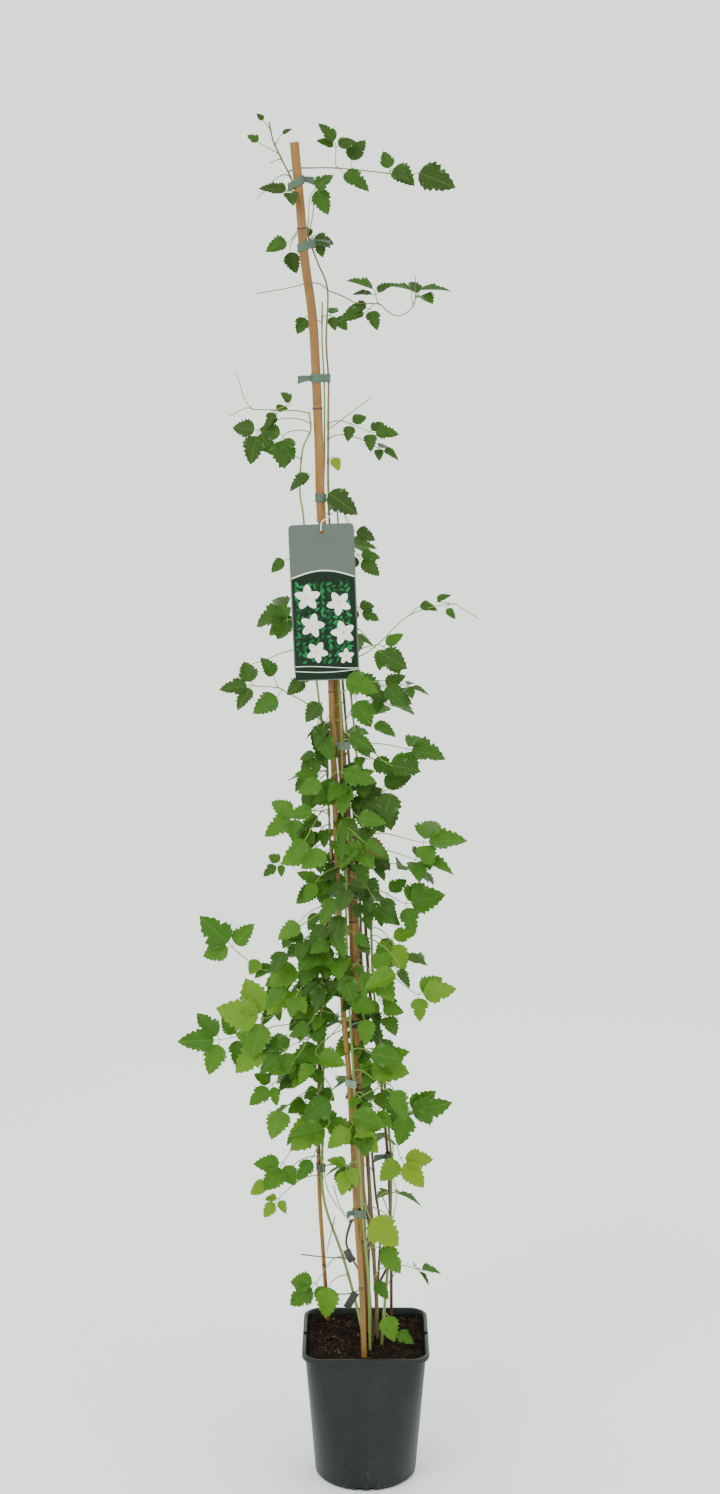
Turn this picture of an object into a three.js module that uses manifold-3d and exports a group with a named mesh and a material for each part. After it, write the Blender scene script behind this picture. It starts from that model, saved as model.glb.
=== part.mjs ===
// A young clematis in a square nursery pot: a twining climber tied to bamboo canes, with a card label.
// Millimetres, +Z up. The origin is the middle of the pot's underside, and -Y is the front.
import * as THREE from 'three';
import { mergeVertices } from 'three/addons/utils/BufferGeometryUtils.js';
import Module from 'manifold-3d';

const wasm = await Module();
wasm.setup();

// Driving dimensions
const GAP = 0.35; // clearance between pieces that touch
const SLIVER = 0.06; // joins leave no face thinner than this
const SAME_POINT = 1e-4; // points closer than this are one
const HALVINGS = 30; // steps that find a height on a route
const FLAT_TURN = 0.02; // a tape's corner that turns less than this is left out
const POT = {
  height: 207,
  rimHalf: 90,
  rimHeight: 8,
  shoulderHalf: 85,
  cornerRadius: 22,
  footRadius: 72.5,
  footChamfer: 3,
  wall: 1.9,
  floor: 3,
  cornerPoints: 5,
  lip: { rounding: 1.5, edge: 0.6, step: 1 },
  innerStep: 4,
  slot: { depth: 12, width: 7, height: 7, spread: 9, sunk: 1 },
  notch: { reach: 16, width: 9, depth: 4.5 },
};
const SOIL = { level: 199, swell: 2.2, rings: [0.86, 0.66, 0.42, 0.2] };
// Hummocks: lengths over which the waves run, the phase of the first, and the size of the second
const WAVES = { x: 13, y: 11, slant: 9, phase: 1.2, second: 0.6 };
const TAPE = { thickness: 0.8, height: 11, clearance: 0.5, facets: 8, sunk: 0.4, tailDrop: 2 };
const LABEL = {
  width: 88, height: 211, thickness: 0.8, corner: 6, cornerSteps: 3, holeRadius: 3, holeDrop: 10,
  hole: [-60, -28, 1358], lean: -2.2,
};
// The strap's closed route: through the card's hole, over its top edge and round the cane
const STRAP = {
  radius: 0.8, steps: 21, sides: 4, tension: 0.5, edgeWay: [0.2, -0.3, 1],
  route: [[-60, -25, 1359.3], [-60, -30.4, 1360.3], [-60, -30.8, 1365.5], [-59, -29.5, 1370.6],
    [-57, -25, 1372.5], [-50, -10, 1376], [-45.5, 0, 1378], [-45, 8, 1379], [-50, 13.4, 1379],
    [-58, 13.5, 1379], [-65.5, 9.5, 1377], [-68.2, 1, 1374.5], [-66.5, -8, 1370.5],
    [-62, -18, 1363.5]],
};
// A joint on a cane: half its length, its swelling as a share of the radius, the groove above it,
// how far the last one stays from the top, and the smallest step between rings along a route
const JOINT = { halfLength: 3.5, swell: 0.13, groove: -0.04, fromTop: 20, step: 0.12 };
// The hollow in a cut cane: its mouth as a share of the radius, and how it narrows
const HOLLOW = { mouth: 0.55, taper: 0.9, point: 1 };
const STEM = { sides: 5, shootSides: 4, shootTaper: 0.7, holeSides: 6, holePoints: 3, holeDepth: 1 };
// A blade: lengths along and across are shares of its length and of half its width. A pair of
// numbers is the least value and what chance adds to it.
const BLADE = {
  rib: 0.6, ribAt: 0.42, halfWidth: 0.31, widths: [0.88, 0.24], fold: [0.2, 0.28], curl: [0.06, 0.16],
  notch: [0.6, 0.16], shoulders: [[0.1, 0.62], [0.35, 1]], notchAt: 0.49, lobe: [0.69, 0.56],
};
// A leaf's stalk: how it leaves the stem and meets the end leaflet, as shares of its span
const STALK = { radius: 0.95, shareOfStem: 0.75, steps: 2, leave: 0.36, rise: 0.7, arrive: 0.3, roll: 36 };
// Side leaflets, in pairs back from the stalk's end; blades shorter than `from` have none
const PAIR = {
  from: 40, first: 9, step: 26, furthest: 0.7, angle: 66, angles: 16, droop: 0.25, twist: 0.5,
  size: 0.8, shrink: 0.12, sizes: [0.88, 0.24], bare: 0.16,
};
const OUTWARD_FROM = 25; // a leaf that ends further back than this faces away from the stem

const COLOUR = {
  pot: '#31383b',
  soil: '#3a2a1e',
  caneTan: '#b98a5c',
  canePale: '#c9ad7c',
  caneDark: '#5d4433',
  tape: '#5f7f5a',
  card: '#8a918c',
  strap: '#d9ddd8',
  leafDeep: '#3f6b35',
  leafFresh: '#6f9a3f',
};

// Canes: routes from the buried end up to the cut top, with the radius and the spacing of the joints
const CANES = {
  cane_main: {
    radius: 6.2, sides: 9, joint: 235, firstJoint: 345, colour: COLOUR.caneTan, hollow: 12,
    route: [[2, 20, 55], [1, 18, 200], [-4, 10, 330], [-8, 4, 460], [-12, 0, 600], [-16, 0, 748],
      [-19, 0, 860], [-27, 0, 966], [-38, 0, 1110], [-46, 0, 1210], [-60, 0, 1374], [-63, 0, 1473],
      [-68, 0, 1594], [-72, 0, 1649], [-82, 0, 1722], [-86, 0, 1776], [-94, 0, 1865]],
  },
  cane_front: {
    radius: 4, sides: 8, joint: 210, firstJoint: 300, colour: COLOUR.canePale, hollow: 0,
    route: [[1, -71, 100], [-2, -66, 200], [-6, -55, 300], [-13, -38, 400], [-18, -24, 500],
      [-23.5, -16, 600], [-31, -14, 690], [-38, -13, 860], [-45, -14, 1065], [-48, -15, 1165]],
  },
  cane_left: {
    radius: 3, sides: 7, joint: 180, firstJoint: 290, colour: COLOUR.caneTan, hollow: 0,
    route: [[-52, 58, 100], [-55, 60, 200], [-61, 52, 300], [-66, 36, 400], [-67, 24, 500],
      [-64, 14, 640], [-58, 6, 760], [-51, 0, 858], [-47, -2, 930]],
  },
  cane_back: {
    radius: 3, sides: 7, joint: 190, firstJoint: 310, colour: COLOUR.canePale, hollow: 0,
    route: [[18, 70, 100], [17, 70, 200], [14, 62, 265], [6, 44, 403], [2, 34, 470], [-4, 22, 600],
      [-10, 14, 750], [-14, 10, 860], [-17, 9, 960]],
  },
  cane_right: {
    radius: 2.3, sides: 6, joint: 170, firstJoint: 280, colour: COLOUR.caneDark, hollow: 0,
    route: [[38, 70, 100], [38, 72, 200], [37, 66, 326], [33, 54, 435], [29, 44, 491], [23, 32, 562],
      [14, 20, 645], [5, 10, 720], [-3, 4, 860], [-5, 3, 905]],
  },
};

// Climbing stems, one node each: the route from the root ball up, and the radius at each end
const VINES = {
  vine_leader: {
    name: 'leader', radii: [2.6, 1.1], colour: COLOUR.leafDeep,
    route: [[10, -14, 150], [9, -12, 215], [4, -8, 300], [5, 2, 427], [-2.5, 4, 600], [-6, -3, 750],
      [-8.5, -3, 860], [-16.5, 0, 966], [-25, 2, 1065], [-35.5, 3, 1200], [-49.5, 2, 1374],
      [-50.5, 3, 1504], [-50, 4, 1557], [-53, 4, 1610], [-51, 2, 1675], [-64, 9, 1711],
      [-76, 11, 1743], [-86, 11, 1785], [-99, 6, 1820], [-112, 2, 1846], [-122, 0, 1868],
      [-127, -2, 1891]],
  },
  vine_second: {
    name: 'second', radii: [2, 1.1], colour: COLOUR.leafDeep,
    route: [[18, -8, 150], [17, -6, 215], [13, 2, 300], [-3, 18, 427], [-13, 12, 600],
      [-19, 10.5, 750], [-26, 9.5, 860], [-36, 8, 966], [-43, 8, 1065], [-50, 10, 1200],
      [-57, 11, 1374], [-56, 8, 1450], [-55.5, 4, 1504], [-56, 4.5, 1557], [-58.5, 5, 1610],
      [-58, 8, 1660]],
  },
  vine_left: {
    name: 'left', radii: [2.2, 1.2], colour: COLOUR.leafFresh,
    route: [[0, -24, 150], [-4, -20, 215], [-30, 10, 310], [-60, 27, 400], [-61, 15, 500],
      [-59, 4, 640], [-53, -3, 760], [-46.5, -7.5, 858], [-49, -8, 930], [-52, -6, 1000],
      [-54, -5, 1065], [-62, -4, 1110], [-72, 0, 1200], [-80, 4, 1290], [-84, 4, 1372],
      [-89, 2, 1411], [-85, 0, 1465], [-74, -7, 1491], [-76, -9, 1516]],
  },
  vine_right: {
    name: 'right', radii: [2.2, 1.2], colour: COLOUR.leafFresh,
    route: [[22, -18, 150], [24, -16, 215], [34, 26, 326], [37, 46, 435], [34, 37, 491],
      [28, 25, 562], [20, 12, 645], [11, 2, 720], [5, -4, 860], [-5, -4, 966], [-14, 0, 1065],
      [-26, 8, 1200], [-38, 10, 1374], [-40, 8, 1400]],
  },
  vine_front: {
    name: 'front', radii: [2, 1.2], colour: COLOUR.leafFresh,
    route: [[8, -32, 150], [6, -33, 215], [4, -46, 300], [-4, -44, 400], [-11, -34, 500],
      [-17, -26, 600], [-23, -21, 700], [-26, -14, 780], [-28, -11.5, 860], [-31, -13, 966],
      [-33, -12.5, 1065], [-36, -12, 1140], [-44, -12, 1250], [-48, -12, 1300]],
  },
  vine_back: {
    name: 'back', radii: [2, 1.2], colour: COLOUR.leafDeep,
    route: [[14, 3, 150], [14, 6, 215], [19, 32, 290], [21, 44, 350], [14, 52, 403], [8.5, 43, 470],
      [-2, 32, 600], [-11, 24, 750], [-16, 20, 860], [-22, 17, 966], [-32, 15, 1065],
      [-42, 17, 1200], [-50, 18, 1300], [-51, 18, 1330]],
  },
};

// Green tape ties: the pieces inside, mid height, slope across the front, and a tail's side and length
const TIES = {
  tie_top: { height: 1813, slope: 0.5, around: ['cane_main', 'leader'], tail: [20, 14] },
  tie_upper: { height: 1733, slope: 0.36, around: ['cane_main', 'leader'], tail: [15, 20] },
  tie_middle: { height: 1560, slope: 0, around: ['cane_main', 'leader', 'second'], tail: [195, 18] },
  tie_label: { height: 1401, slope: 0, around: ['cane_main'], tail: [0, 0] },
  tie_pale: { height: 1063, slope: 0, around: ['cane_main', 'leader'], tail: [0, 0] },
  tie_bundle: {
    height: 858, slope: 0, tail: [350, 12],
    around: ['cane_main', 'cane_front', 'cane_left', 'cane_back', 'leader', 'second', 'left', 'front'],
  },
  tie_dark: { height: 668, slope: 0, around: ['cane_main', 'second'], tail: [200, 10] },
  tie_front: { height: 588, slope: 0, around: ['cane_front', 'front'], tail: [0, 0] },
  tie_low_front: { height: 404, slope: 0, around: ['cane_front', 'front'], tail: [200, 9] },
  tie_low_left: { height: 447, slope: 0, around: ['cane_left', 'left'], tail: [0, 0] },
  tie_low_right: { height: 455, slope: 0.1, around: ['cane_right', 'right'], tail: [185, 16] },
};

// Side shoots: each leaves the stem named by `from`, and is fused to it
const SHOOTS = {
  bare_left: {
    from: 'leader', radius: 0.9,
    route: [[-51, 2, 1676], [-62, -9, 1683], [-77, -12, 1684], [-100, -14, 1678], [-146, -16, 1670]],
  },
  top_right: {
    from: 'leader', radius: 1,
    route: [[-103, 5, 1828], [-91, 13, 1833], [-75, 8, 1833], [-38, -2, 1832], [29, -8, 1825],
      [59, -10, 1820]],
  },
  upper_right: {
    from: 'leader', radius: 1,
    route: [[-51, 2, 1675], [-28, -4, 1666], [-12, -8, 1658], [17, -10, 1657], [25, -10, 1650],
      [41, -12, 1641], [58, -10, 1649], [65, -8, 1663], [65, -8, 1692]],
  },
  star_left: {
    from: 'left', radius: 1,
    route: [[-76, -9, 1514], [-91, -10, 1517], [-120, -8, 1518], [-151, -4, 1519]],
  },
  right_tendril: {
    from: 'right', radius: 0.9,
    route: [[-24.5, 7, 1184], [-5, 4, 1187], [21, 0, 1207], [60, 0, 1243], [114, -2, 1258],
      [130, -2, 1252], [154, 0, 1237]],
  },
  left_low: {
    from: 'left', radius: 1,
    route: [[-59, -4.5, 1096], [-82, -8, 1123], [-107, -6, 1136], [-118, -4, 1143], [-152, -4, 1146]],
  },
  left_mid: {
    from: 'left', radius: 1,
    route: [[-53.5, -2.5, 749], [-91, -14, 745], [-141, -12, 748], [-161, -12, 760],
      [-179, -12, 775]],
  },
};

// Leaves: stem or shoot, height on the stem (or point number on a shoot), end of the stalk, tip of the
// end leaflet, pairs of side leaflets, and how far the blades tip towards the viewer in degrees.
// A row without a tip is a bare stalk that has lost its leaflets.
const LEAVES = [
  ['leader', 1842, [-126, -8, 1838]],
  ['leader', 1822, [-143, -14, 1793]],
  ['top_right', 3, [-42, -8, 1866], [-60, -12, 1890], 1, 60],
  ['top_right', 3, [-29, -14, 1824], [5, -20, 1804], 0, 70],
  ['top_right', 3.3, [-19, 10, 1843], [-3, 14, 1872], 0, 60],
  ['top_right', 4, [36, -12, 1831], [64, -18, 1811], 1, 55],
  ['top_right', 5, [69, -12, 1825], [117, -18, 1807], 0, 60],
  ['leader', 1754, [-66, -18, 1806], [-44, -24, 1822], 0, 70],
  ['leader', 1750, [-63, -4, 1804], [-50, -8, 1772], 0, 65],
  ['leader', 1800, [-108, -12, 1802], [-140, -18, 1807], 1, 60],
  ['leader', 1757, [-105, 14, 1737], [-134, 12, 1728], 0, 60],
  ['leader', 1752, [-101, 20, 1725], [-93, 22, 1697], 0, 60],
  ['leader', 1740, [-66, 18, 1746], [-57, 20, 1718], 1, 60],
  ['upper_right', 3, [9, -10, 1676], [-25, -16, 1689], 1, 15],
  ['upper_right', 3, [-3, -16, 1645], [-37, -22, 1636], 1, 50],
  ['upper_right', 6.6, [58, -8, 1675], [28, -12, 1684], 0, 15],
  ['upper_right', 7, [73, -10, 1675], [112, -14, 1678], 1, 20],
  ['second', 1632, [-81, 12, 1639], [-92, 10, 1618], 0, 50],
  ['second', 1640, [-40, 14, 1639], [-24, 20, 1623], 1, 45],
  ['star_left', 3, [-173, -2, 1567]],
  ['star_left', 3, [-183, 2, 1510]],
  ['star_left', 2.2, [-119, -12, 1509], [-138, -18, 1495], 1, 60],
  ['left', 1500, [-147, -8, 1484], [-155, -12, 1446], 1, 75],
  ['left', 1488, [-113, -16, 1478], [-109, -20, 1441], 1, 70],
  ['leader', 1500, [13, -12, 1488], [44, -18, 1487], 2, 45],
  ['leader', 1480, [24, 0, 1464], [46, 2, 1454], 1, 40],
  ['leader', 1492, [8, 8, 1535]],
  ['left', 1452, [-100, -8, 1455], [-118, -12, 1444], 0, 60],
  ['left', 1432, [-76, -14, 1432], [-103, -20, 1413], 0, 60],
  ['leader', 1417, [-50, -10, 1408], [-11, -18, 1381], 0, 70],
  ['leader', 1398, [-13, 6, 1355], [14, 8, 1345], 0, 45],
  ['right', 1345, [-5, 0, 1317], [19, -4, 1297], 1, 60],
  ['right', 1268, [-5, 2, 1246], [19, 4, 1235], 1, 55],
  ['left', 1300, [-111, 10, 1316], [-130, 12, 1300], 0, 60],
  ['left', 1225, [-113, 8, 1232], [-133, 10, 1213], 1, 60],
  ['right_tendril', 3, [73, 0, 1254], [98, -2, 1252], 0, 30],
  ['right', 1185, [29, -12, 1196], [46, -18, 1164], 1, 65],
  ['right', 1162, [30, -8, 1141], [63, -12, 1122], 1, 60],
  ['right', 1142, [64, 6, 1142], [88, 8, 1133], 1, 30],
  ['right', 1132, [-13, -20, 1156], [24, -32, 1135], 0, 65],
  ['left_low', 3, [-126, -4, 1160], [-141, -6, 1186], 0, 50],
  ['left_low', 2.6, [-121, -8, 1131], [-154, -14, 1110], 0, 60],
  ['left_low', 4, [-162, -4, 1146], [-200, -8, 1142], 1, 45],
  ['left', 1190, [-155, 6, 1175]],
  ['left', 1168, [-83, -12, 1152], [-108, -18, 1137], 0, 65],
  ['left', 1112, [-62, -24, 1125], [-82, -32, 1101], 0, 70],
  ['left', 1048, [-49, -24, 1051], [-74, -34, 1086], 0, 60],
  ['right', 1085, [-16, -14, 1076], [6, -24, 1051], 0, 60],
  ['right', 1058, [63, -2, 1057], [110, -6, 1049], 1, 25],
  ['right', 1040, [34, -12, 1041], [73, -18, 1033], 0, 60],
  ['left', 1022, [-65, -24, 1016], [-82, -34, 978], 1, 65],
  ['front', 1006, [-27, -36, 1015], [-34, -48, 975], 1, 50],
  ['right', 1000, [25, -12, 999], [36, -18, 947], 1, 60],
  ['left', 968, [-104, -9, 962], [-141, -12, 939], 2, 60],
  ['left', 925, [-74, -24, 923], [-116, -34, 906], 1, 60],
  ['left', 900, [-124, 2, 893], [-143, 4, 878], 1, 50],
  ['front', 930, [-13, -36, 934], [11, -48, 900], 1, 55],
  ['right', 935, [87, -4, 928], [139, -8, 936], 1, 25],
  ['right', 912, [76, -16, 904], [122, -24, 895], 1, 35],
  ['right', 905, [3, -26, 926], [33, -38, 912], 0, 60],
  ['left', 880, [-70, -18, 869], [-96, -26, 846], 1, 65],
  ['left_mid', 4, [-191, -12, 788], [-229, -18, 824], 1, 65],
  ['left_mid', 2.6, [-150, -12, 763], [-161, -16, 742], 0, 60],
  ['left', 835, [-95, -12, 813], [-117, -18, 781], 0, 65],
  ['left', 765, [-94, -28, 750], [-140, -38, 737], 0, 60],
  ['left', 740, [-105, -24, 722], [-138, -34, 690], 1, 70],
  ['right', 858, [63, -8, 842], [108, -12, 858], 2, 40],
  ['right', 845, [13, -28, 841], [40, -38, 821], 0, 60],
  ['right', 805, [38, -12, 784], [55, -18, 747], 1, 60],
  ['front', 752, [10, -42, 753], [39, -56, 716], 1, 55],
  ['right', 742, [81, -10, 712], [126, -14, 723], 1, 45],
  ['front', 700, [-2, -38, 685], [2, -46, 649], 0, 50],
  ['left', 655, [-212, -12, 647], [-263, -16, 647], 2, 55],
  ['left', 705, [-150, -26, 683], [-206, -34, 699], 1, 70],
  ['left', 640, [-144, -26, 643], [-182, -34, 606], 1, 72],
  ['left', 590, [-137, -10, 577], [-164, -14, 552], 1, 60],
  ['right', 648, [21, -8, 615], [59, -12, 634], 0, 25],
  ['right', 622, [9, -28, 618], [60, -40, 608], 0, 60],
  ['right', 572, [65, -12, 544], [121, -18, 556], 1, 70],
  ['front', 575, [17, -34, 550], [37, -42, 529], 0, 60],
  ['left', 585, [-50, -32, 565], [-89, -44, 540], 0, 60],
  ['left', 545, [-61, -28, 532], [-106, -40, 495], 1, 60],
  ['front', 538, [-23, -46, 528], [-54, -58, 507], 0, 50],
  ['front', 556, [-16, -42, 545], [21, -56, 533], 0, 50],
  ['front', 528, [-11, -50, 528], [17, -62, 500], 0, 50],
  ['left', 503, [-121, -9, 459], [-142, -12, 423], 1, 70],
  ['left', 485, [-77, -22, 475], [-96, -30, 447], 0, 65],
  ['left', 462, [-139, 8, 428], [-166, 10, 413], 0, 60],
  ['front', 478, [-28, -52, 470], [-33, -62, 437], 1, 50],
  ['right', 515, [54, -4, 463], [84, -10, 429], 1, 70],
  ['left', 432, [-129, 2, 402], [-146, 2, 380], 1, 50],
  ['front', 420, [8, -56, 400], [47, -60, 362], 0, 60],
  ['front', 352, [23, -40, 349], [51, -50, 319], 0, 60],
  ['right', 300, [13, -18, 290], [33, -26, 270], 0, 55],
  ['left', 316, [-77, 3, 274], [-110, 0, 248], 1, 60],
  ['left', 292, [-52, -16, 283], [-58, -22, 236], 0, 55],
  ['right', 262, [27, -30, 244], [42, -44, 214], 0, 60],
  ['right', 240, [46, -32, 222], [68, -42, 210], 0, 50],
];

// The thick growth in front of the canes: single leaves, in rows like those above
const MIDDLE_LEAVES = [
  ['right', 1225, [21, -22, 1194], [56, -27, 1173], 0, 70],
  ['front', 1149, [-27, -61, 1161], [17, -66, 1150], 0, 65],
  ['front', 1136, [28, -31, 1149], [51, -45, 1127], 0, 60],
  ['right', 1135, [-12, -30, 1129], [7, -33, 1093], 0, 65],
  ['right', 1110, [-22, -47, 1084], [9, -49, 1069], 0, 70],
  ['left', 1102, [-64, -35, 1085], [-43, -41, 1049], 0, 55],
  ['right', 1062, [37, -25, 1039], [75, -30, 1034], 0, 70],
  ['left', 1013, [-30, -48, 1034], [14, -54, 1022], 0, 75],
  ['left', 1012, [-61, -60, 1023], [-92, -64, 1009], 0, 70],
  ['front', 1031, [-10, -24, 1024], [2, -34, 992], 0, 55],
  ['front', 1007, [-40, -31, 999], [-74, -43, 993], 0, 40],
  ['right', 977, [34, -40, 1004], [22, -52, 961], 0, 65],
  ['right', 984, [-73, -48, 982], [-107, -55, 975], 0, 65],
  ['front', 1002, [-10, -50, 973], [26, -62, 968], 0, 60],
  ['front', 948, [-1, -60, 940], [30, -63, 923], 0, 60],
  ['left', 973, [-83, -55, 942], [-102, -68, 917], 0, 55],
  ['leader', 945, [-23, -41, 936], [-2, -45, 907], 0, 55],
  ['right', 916, [-56, -51, 925], [-88, -58, 903], 0, 70],
  ['right', 892, [-70, -30, 876], [-85, -33, 848], 0, 60],
  ['second', 872, [-42, -45, 858], [-63, -58, 825], 0, 65],
  ['second', 833, [-90, -43, 820], [-122, -51, 805], 0, 40],
  ['leader', 851, [-46, -50, 812], [-26, -56, 778], 0, 40],
  ['left', 810, [-58, -26, 802], [-76, -28, 771], 0, 45],
  ['second', 803, [-68, -29, 762], [-31, -32, 751], 0, 45],
  ['leader', 791, [41, -58, 755], [-3, -65, 741], 0, 50],
  ['left', 775, [-72, -16, 752], [-92, -24, 710], 0, 70],
  ['leader', 752, [-30, -50, 751], [-15, -54, 707], 0, 60],
  ['left', 761, [-111, -42, 731], [-140, -53, 706], 0, 60],
  ['right', 727, [-20, -46, 716], [14, -49, 701], 0, 40],
  ['front', 677, [-77, -20, 686], [-59, -30, 644], 0, 75],
  ['leader', 658, [7, -49, 639], [53, -53, 632], 0, 65],
  ['back', 671, [-67, -17, 638], [-107, -26, 617], 0, 50],
  ['second', 656, [-64, -57, 637], [-28, -65, 630], 0, 55],
  ['left', 669, [-99, -37, 627], [-128, -45, 607], 0, 50],
  ['front', 594, [9, -18, 608], [56, -28, 604], 0, 70],
  ['front', 565, [34, -60, 587], [61, -63, 548], 0, 40],
  ['left', 559, [-82, -20, 556], [-49, -29, 528], 0, 45],
  ['front', 526, [-17, -58, 552], [27, -70, 542], 0, 55],
  ['left', 582, [-62, -20, 540], [-28, -29, 523], 0, 45],
  ['left', 543, [-59, -61, 535], [-105, -74, 531], 0, 40],
  ['front', 450, [-35, -40, 471], [-21, -49, 438], 0, 60],
  ['leader', 396, [33, -28, 385], [1, -38, 379], 0, 55],
  ['front', 379, [26, -23, 349], [39, -34, 317], 0, 55],
];

// Leaves on the far side follow a golden-angle spiral through a fan behind the canes. The fan's
// sides grow from the right and left stems, and its leaves above `secondFrom` from the second one.
const FAR_SIDE = {
  count: 24, low: 297, step: 45.5, golden: 0.618034, middle: 90, spread: 66, reach: [34, 40],
  drop: 14, size: [32, 16], tipDrop: 16, tipShare: 0.4, tilt: 35, side: 40, leftFrom: 940,
  secondFrom: 1300,
};

const UP = new THREE.Vector3(0, 0, 1);
const FRONT = new THREE.Vector3(0, -1, 0);
const vector = (point) => new THREE.Vector3(...point);
const radians = THREE.MathUtils.degToRad;

// The same three whole numbers always give the same value from 0 to 1
const WAVE = [12.9898, 78.233, 37.719];
const WAVE_HEIGHT = 43758.5453;
function chance(a, b, c) {
  const wave = Math.sin(a * WAVE[0] + b * WAVE[1] + c * WAVE[2]) * WAVE_HEIGHT;
  return wave - Math.floor(wave);
}

// A value in a range given as its least value and what chance adds
const within = ([least, more], share) => least + more * share;

function solidOf(geometry) {
  const bare = geometry.clone();
  bare.deleteAttribute('normal');
  bare.deleteAttribute('uv');
  const merged = mergeVertices(bare, SAME_POINT);
  return new wasm.Manifold(new wasm.Mesh({
    numProp: 3,
    vertProperties: new Float32Array(merged.attributes.position.array),
    triVerts: new Uint32Array(merged.index.array),
  }));
}

// Joins solids, closes up slivers and keeps the largest body, so a loose scrap is dropped
function joined(solids) {
  const bodies = wasm.Manifold.union(solids).asOriginal().simplify(SLIVER).decompose();
  return bodies.reduce((best, body) => (body.volume() > best.volume() ? body : best));
}

function geometryOf(solid) {
  const mesh = solid.getMesh();
  const geometry = new THREE.BufferGeometry();
  geometry.setAttribute('position', new THREE.BufferAttribute(new Float32Array(mesh.vertProperties), 3));
  geometry.setIndex(new THREE.BufferAttribute(new Uint32Array(mesh.triVerts), 1));
  return geometry;
}

function indexedGeometry(points, triangles) {
  const geometry = new THREE.BufferGeometry().setFromPoints(points);
  geometry.setIndex(triangles.flat());
  return geometry;
}

// A closed skin through rings of points that run anticlockwise seen from the last ring.
// A ring of a single point closes that end; any other end gets a flat cap.
function loft(rings) {
  const points = rings.flat();
  const starts = [];
  rings.reduce((sum, ring) => {
    starts.push(sum);
    return sum + ring.length;
  }, 0);
  const triangles = [];
  for (let k = 0; k + 1 < rings.length; k += 1) {
    const [a, b] = [starts[k], starts[k + 1]];
    const [na, nb] = [rings[k].length, rings[k + 1].length];
    for (let i = 0; i < Math.max(na, nb); i += 1) {
      const j = i + 1;
      if (nb > 1) triangles.push([a + (i % na), b + (j % nb), b + (i % nb)]);
      if (na > 1) triangles.push([a + (i % na), a + (j % na), b + (j % nb)]);
    }
  }
  const last = starts.length - 1;
  for (let i = 1; i + 1 < rings[0].length; i += 1) {
    triangles.push([starts[0], starts[0] + i + 1, starts[0] + i]);
  }
  for (let i = 1; i + 1 < rings[last].length; i += 1) {
    triangles.push([starts[last], starts[last] + i, starts[last] + i + 1]);
  }
  return indexedGeometry(points, triangles);
}

// A point on a route of straight spans: place 2.5 is halfway between its third and fourth points
function along(route, place) {
  const span = Math.min(Math.floor(place), route.length - 2);
  return vector(route[span]).lerp(vector(route[span + 1]), place - span);
}

// The place at which a rising route passes a height, found by halving
function placeAtHeight(route, height) {
  let [low, high] = [0, route.length - 1];
  for (let i = 0; i < HALVINGS; i += 1) {
    const middle = (low + high) / 2;
    if (along(route, middle).z < height) low = middle;
    else high = middle;
  }
  return (low + high) / 2;
}

// Rings of a round section carried along a line of points without twist
function tubeRings(centres, radii, sides) {
  const rings = [];
  let side = null;
  centres.forEach((centre, i) => {
    const ahead = centres[Math.min(i + 1, centres.length - 1)].clone();
    const tangent = ahead.sub(centres[Math.max(i - 1, 0)]).normalize();
    if (!side) side = Math.abs(tangent.z) > 0.8 ? new THREE.Vector3(1, 0, 0) : UP.clone();
    side.addScaledVector(tangent, -side.dot(tangent)).normalize();
    const other = new THREE.Vector3().crossVectors(tangent, side);
    const ring = [];
    for (let j = 0; j < sides; j += 1) {
      const angle = (2 * Math.PI * j) / sides;
      ring.push(centre.clone()
        .addScaledVector(side, radii[i] * Math.cos(angle))
        .addScaledVector(other, radii[i] * Math.sin(angle)));
    }
    rings.push(ring);
  });
  return rings;
}

// A round bar along a route, from one radius to another
function bar(route, radii, sides) {
  const widths = route.map((_, i) => THREE.MathUtils.lerp(radii[0], radii[1], i / (route.length - 1)));
  return solidOf(loft(tubeRings(route.map(vector), widths, sides)));
}

// The pot's outline at one height: a square with round corners, which is a circle at the foot
function potSection(height, half, radius) {
  const ring = [];
  for (let corner = 0; corner < 4; corner += 1) {
    const middle = radians(45 + 90 * corner);
    const centre = new THREE.Vector2(
      Math.sign(Math.cos(middle)) * (half - radius),
      Math.sign(Math.sin(middle)) * (half - radius),
    );
    for (let i = 0; i < POT.cornerPoints; i += 1) {
      const angle = radians(90 * corner + (90 * (i + 0.5)) / POT.cornerPoints);
      ring.push(new THREE.Vector3(
        centre.x + radius * Math.cos(angle),
        centre.y + radius * Math.sin(angle),
        height,
      ));
    }
  }
  return ring;
}

// The wall between foot and shoulder, with an inset for its inner face
function wallSection(height, inset) {
  const shoulder = POT.height - POT.rimHeight;
  const rise = THREE.MathUtils.clamp(height / shoulder, 0, 1);
  const half = THREE.MathUtils.lerp(POT.footRadius, POT.shoulderHalf, rise) - inset;
  const radius = THREE.MathUtils.lerp(POT.footRadius, POT.cornerRadius, rise) - inset;
  return potSection(height, half, radius);
}

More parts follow.
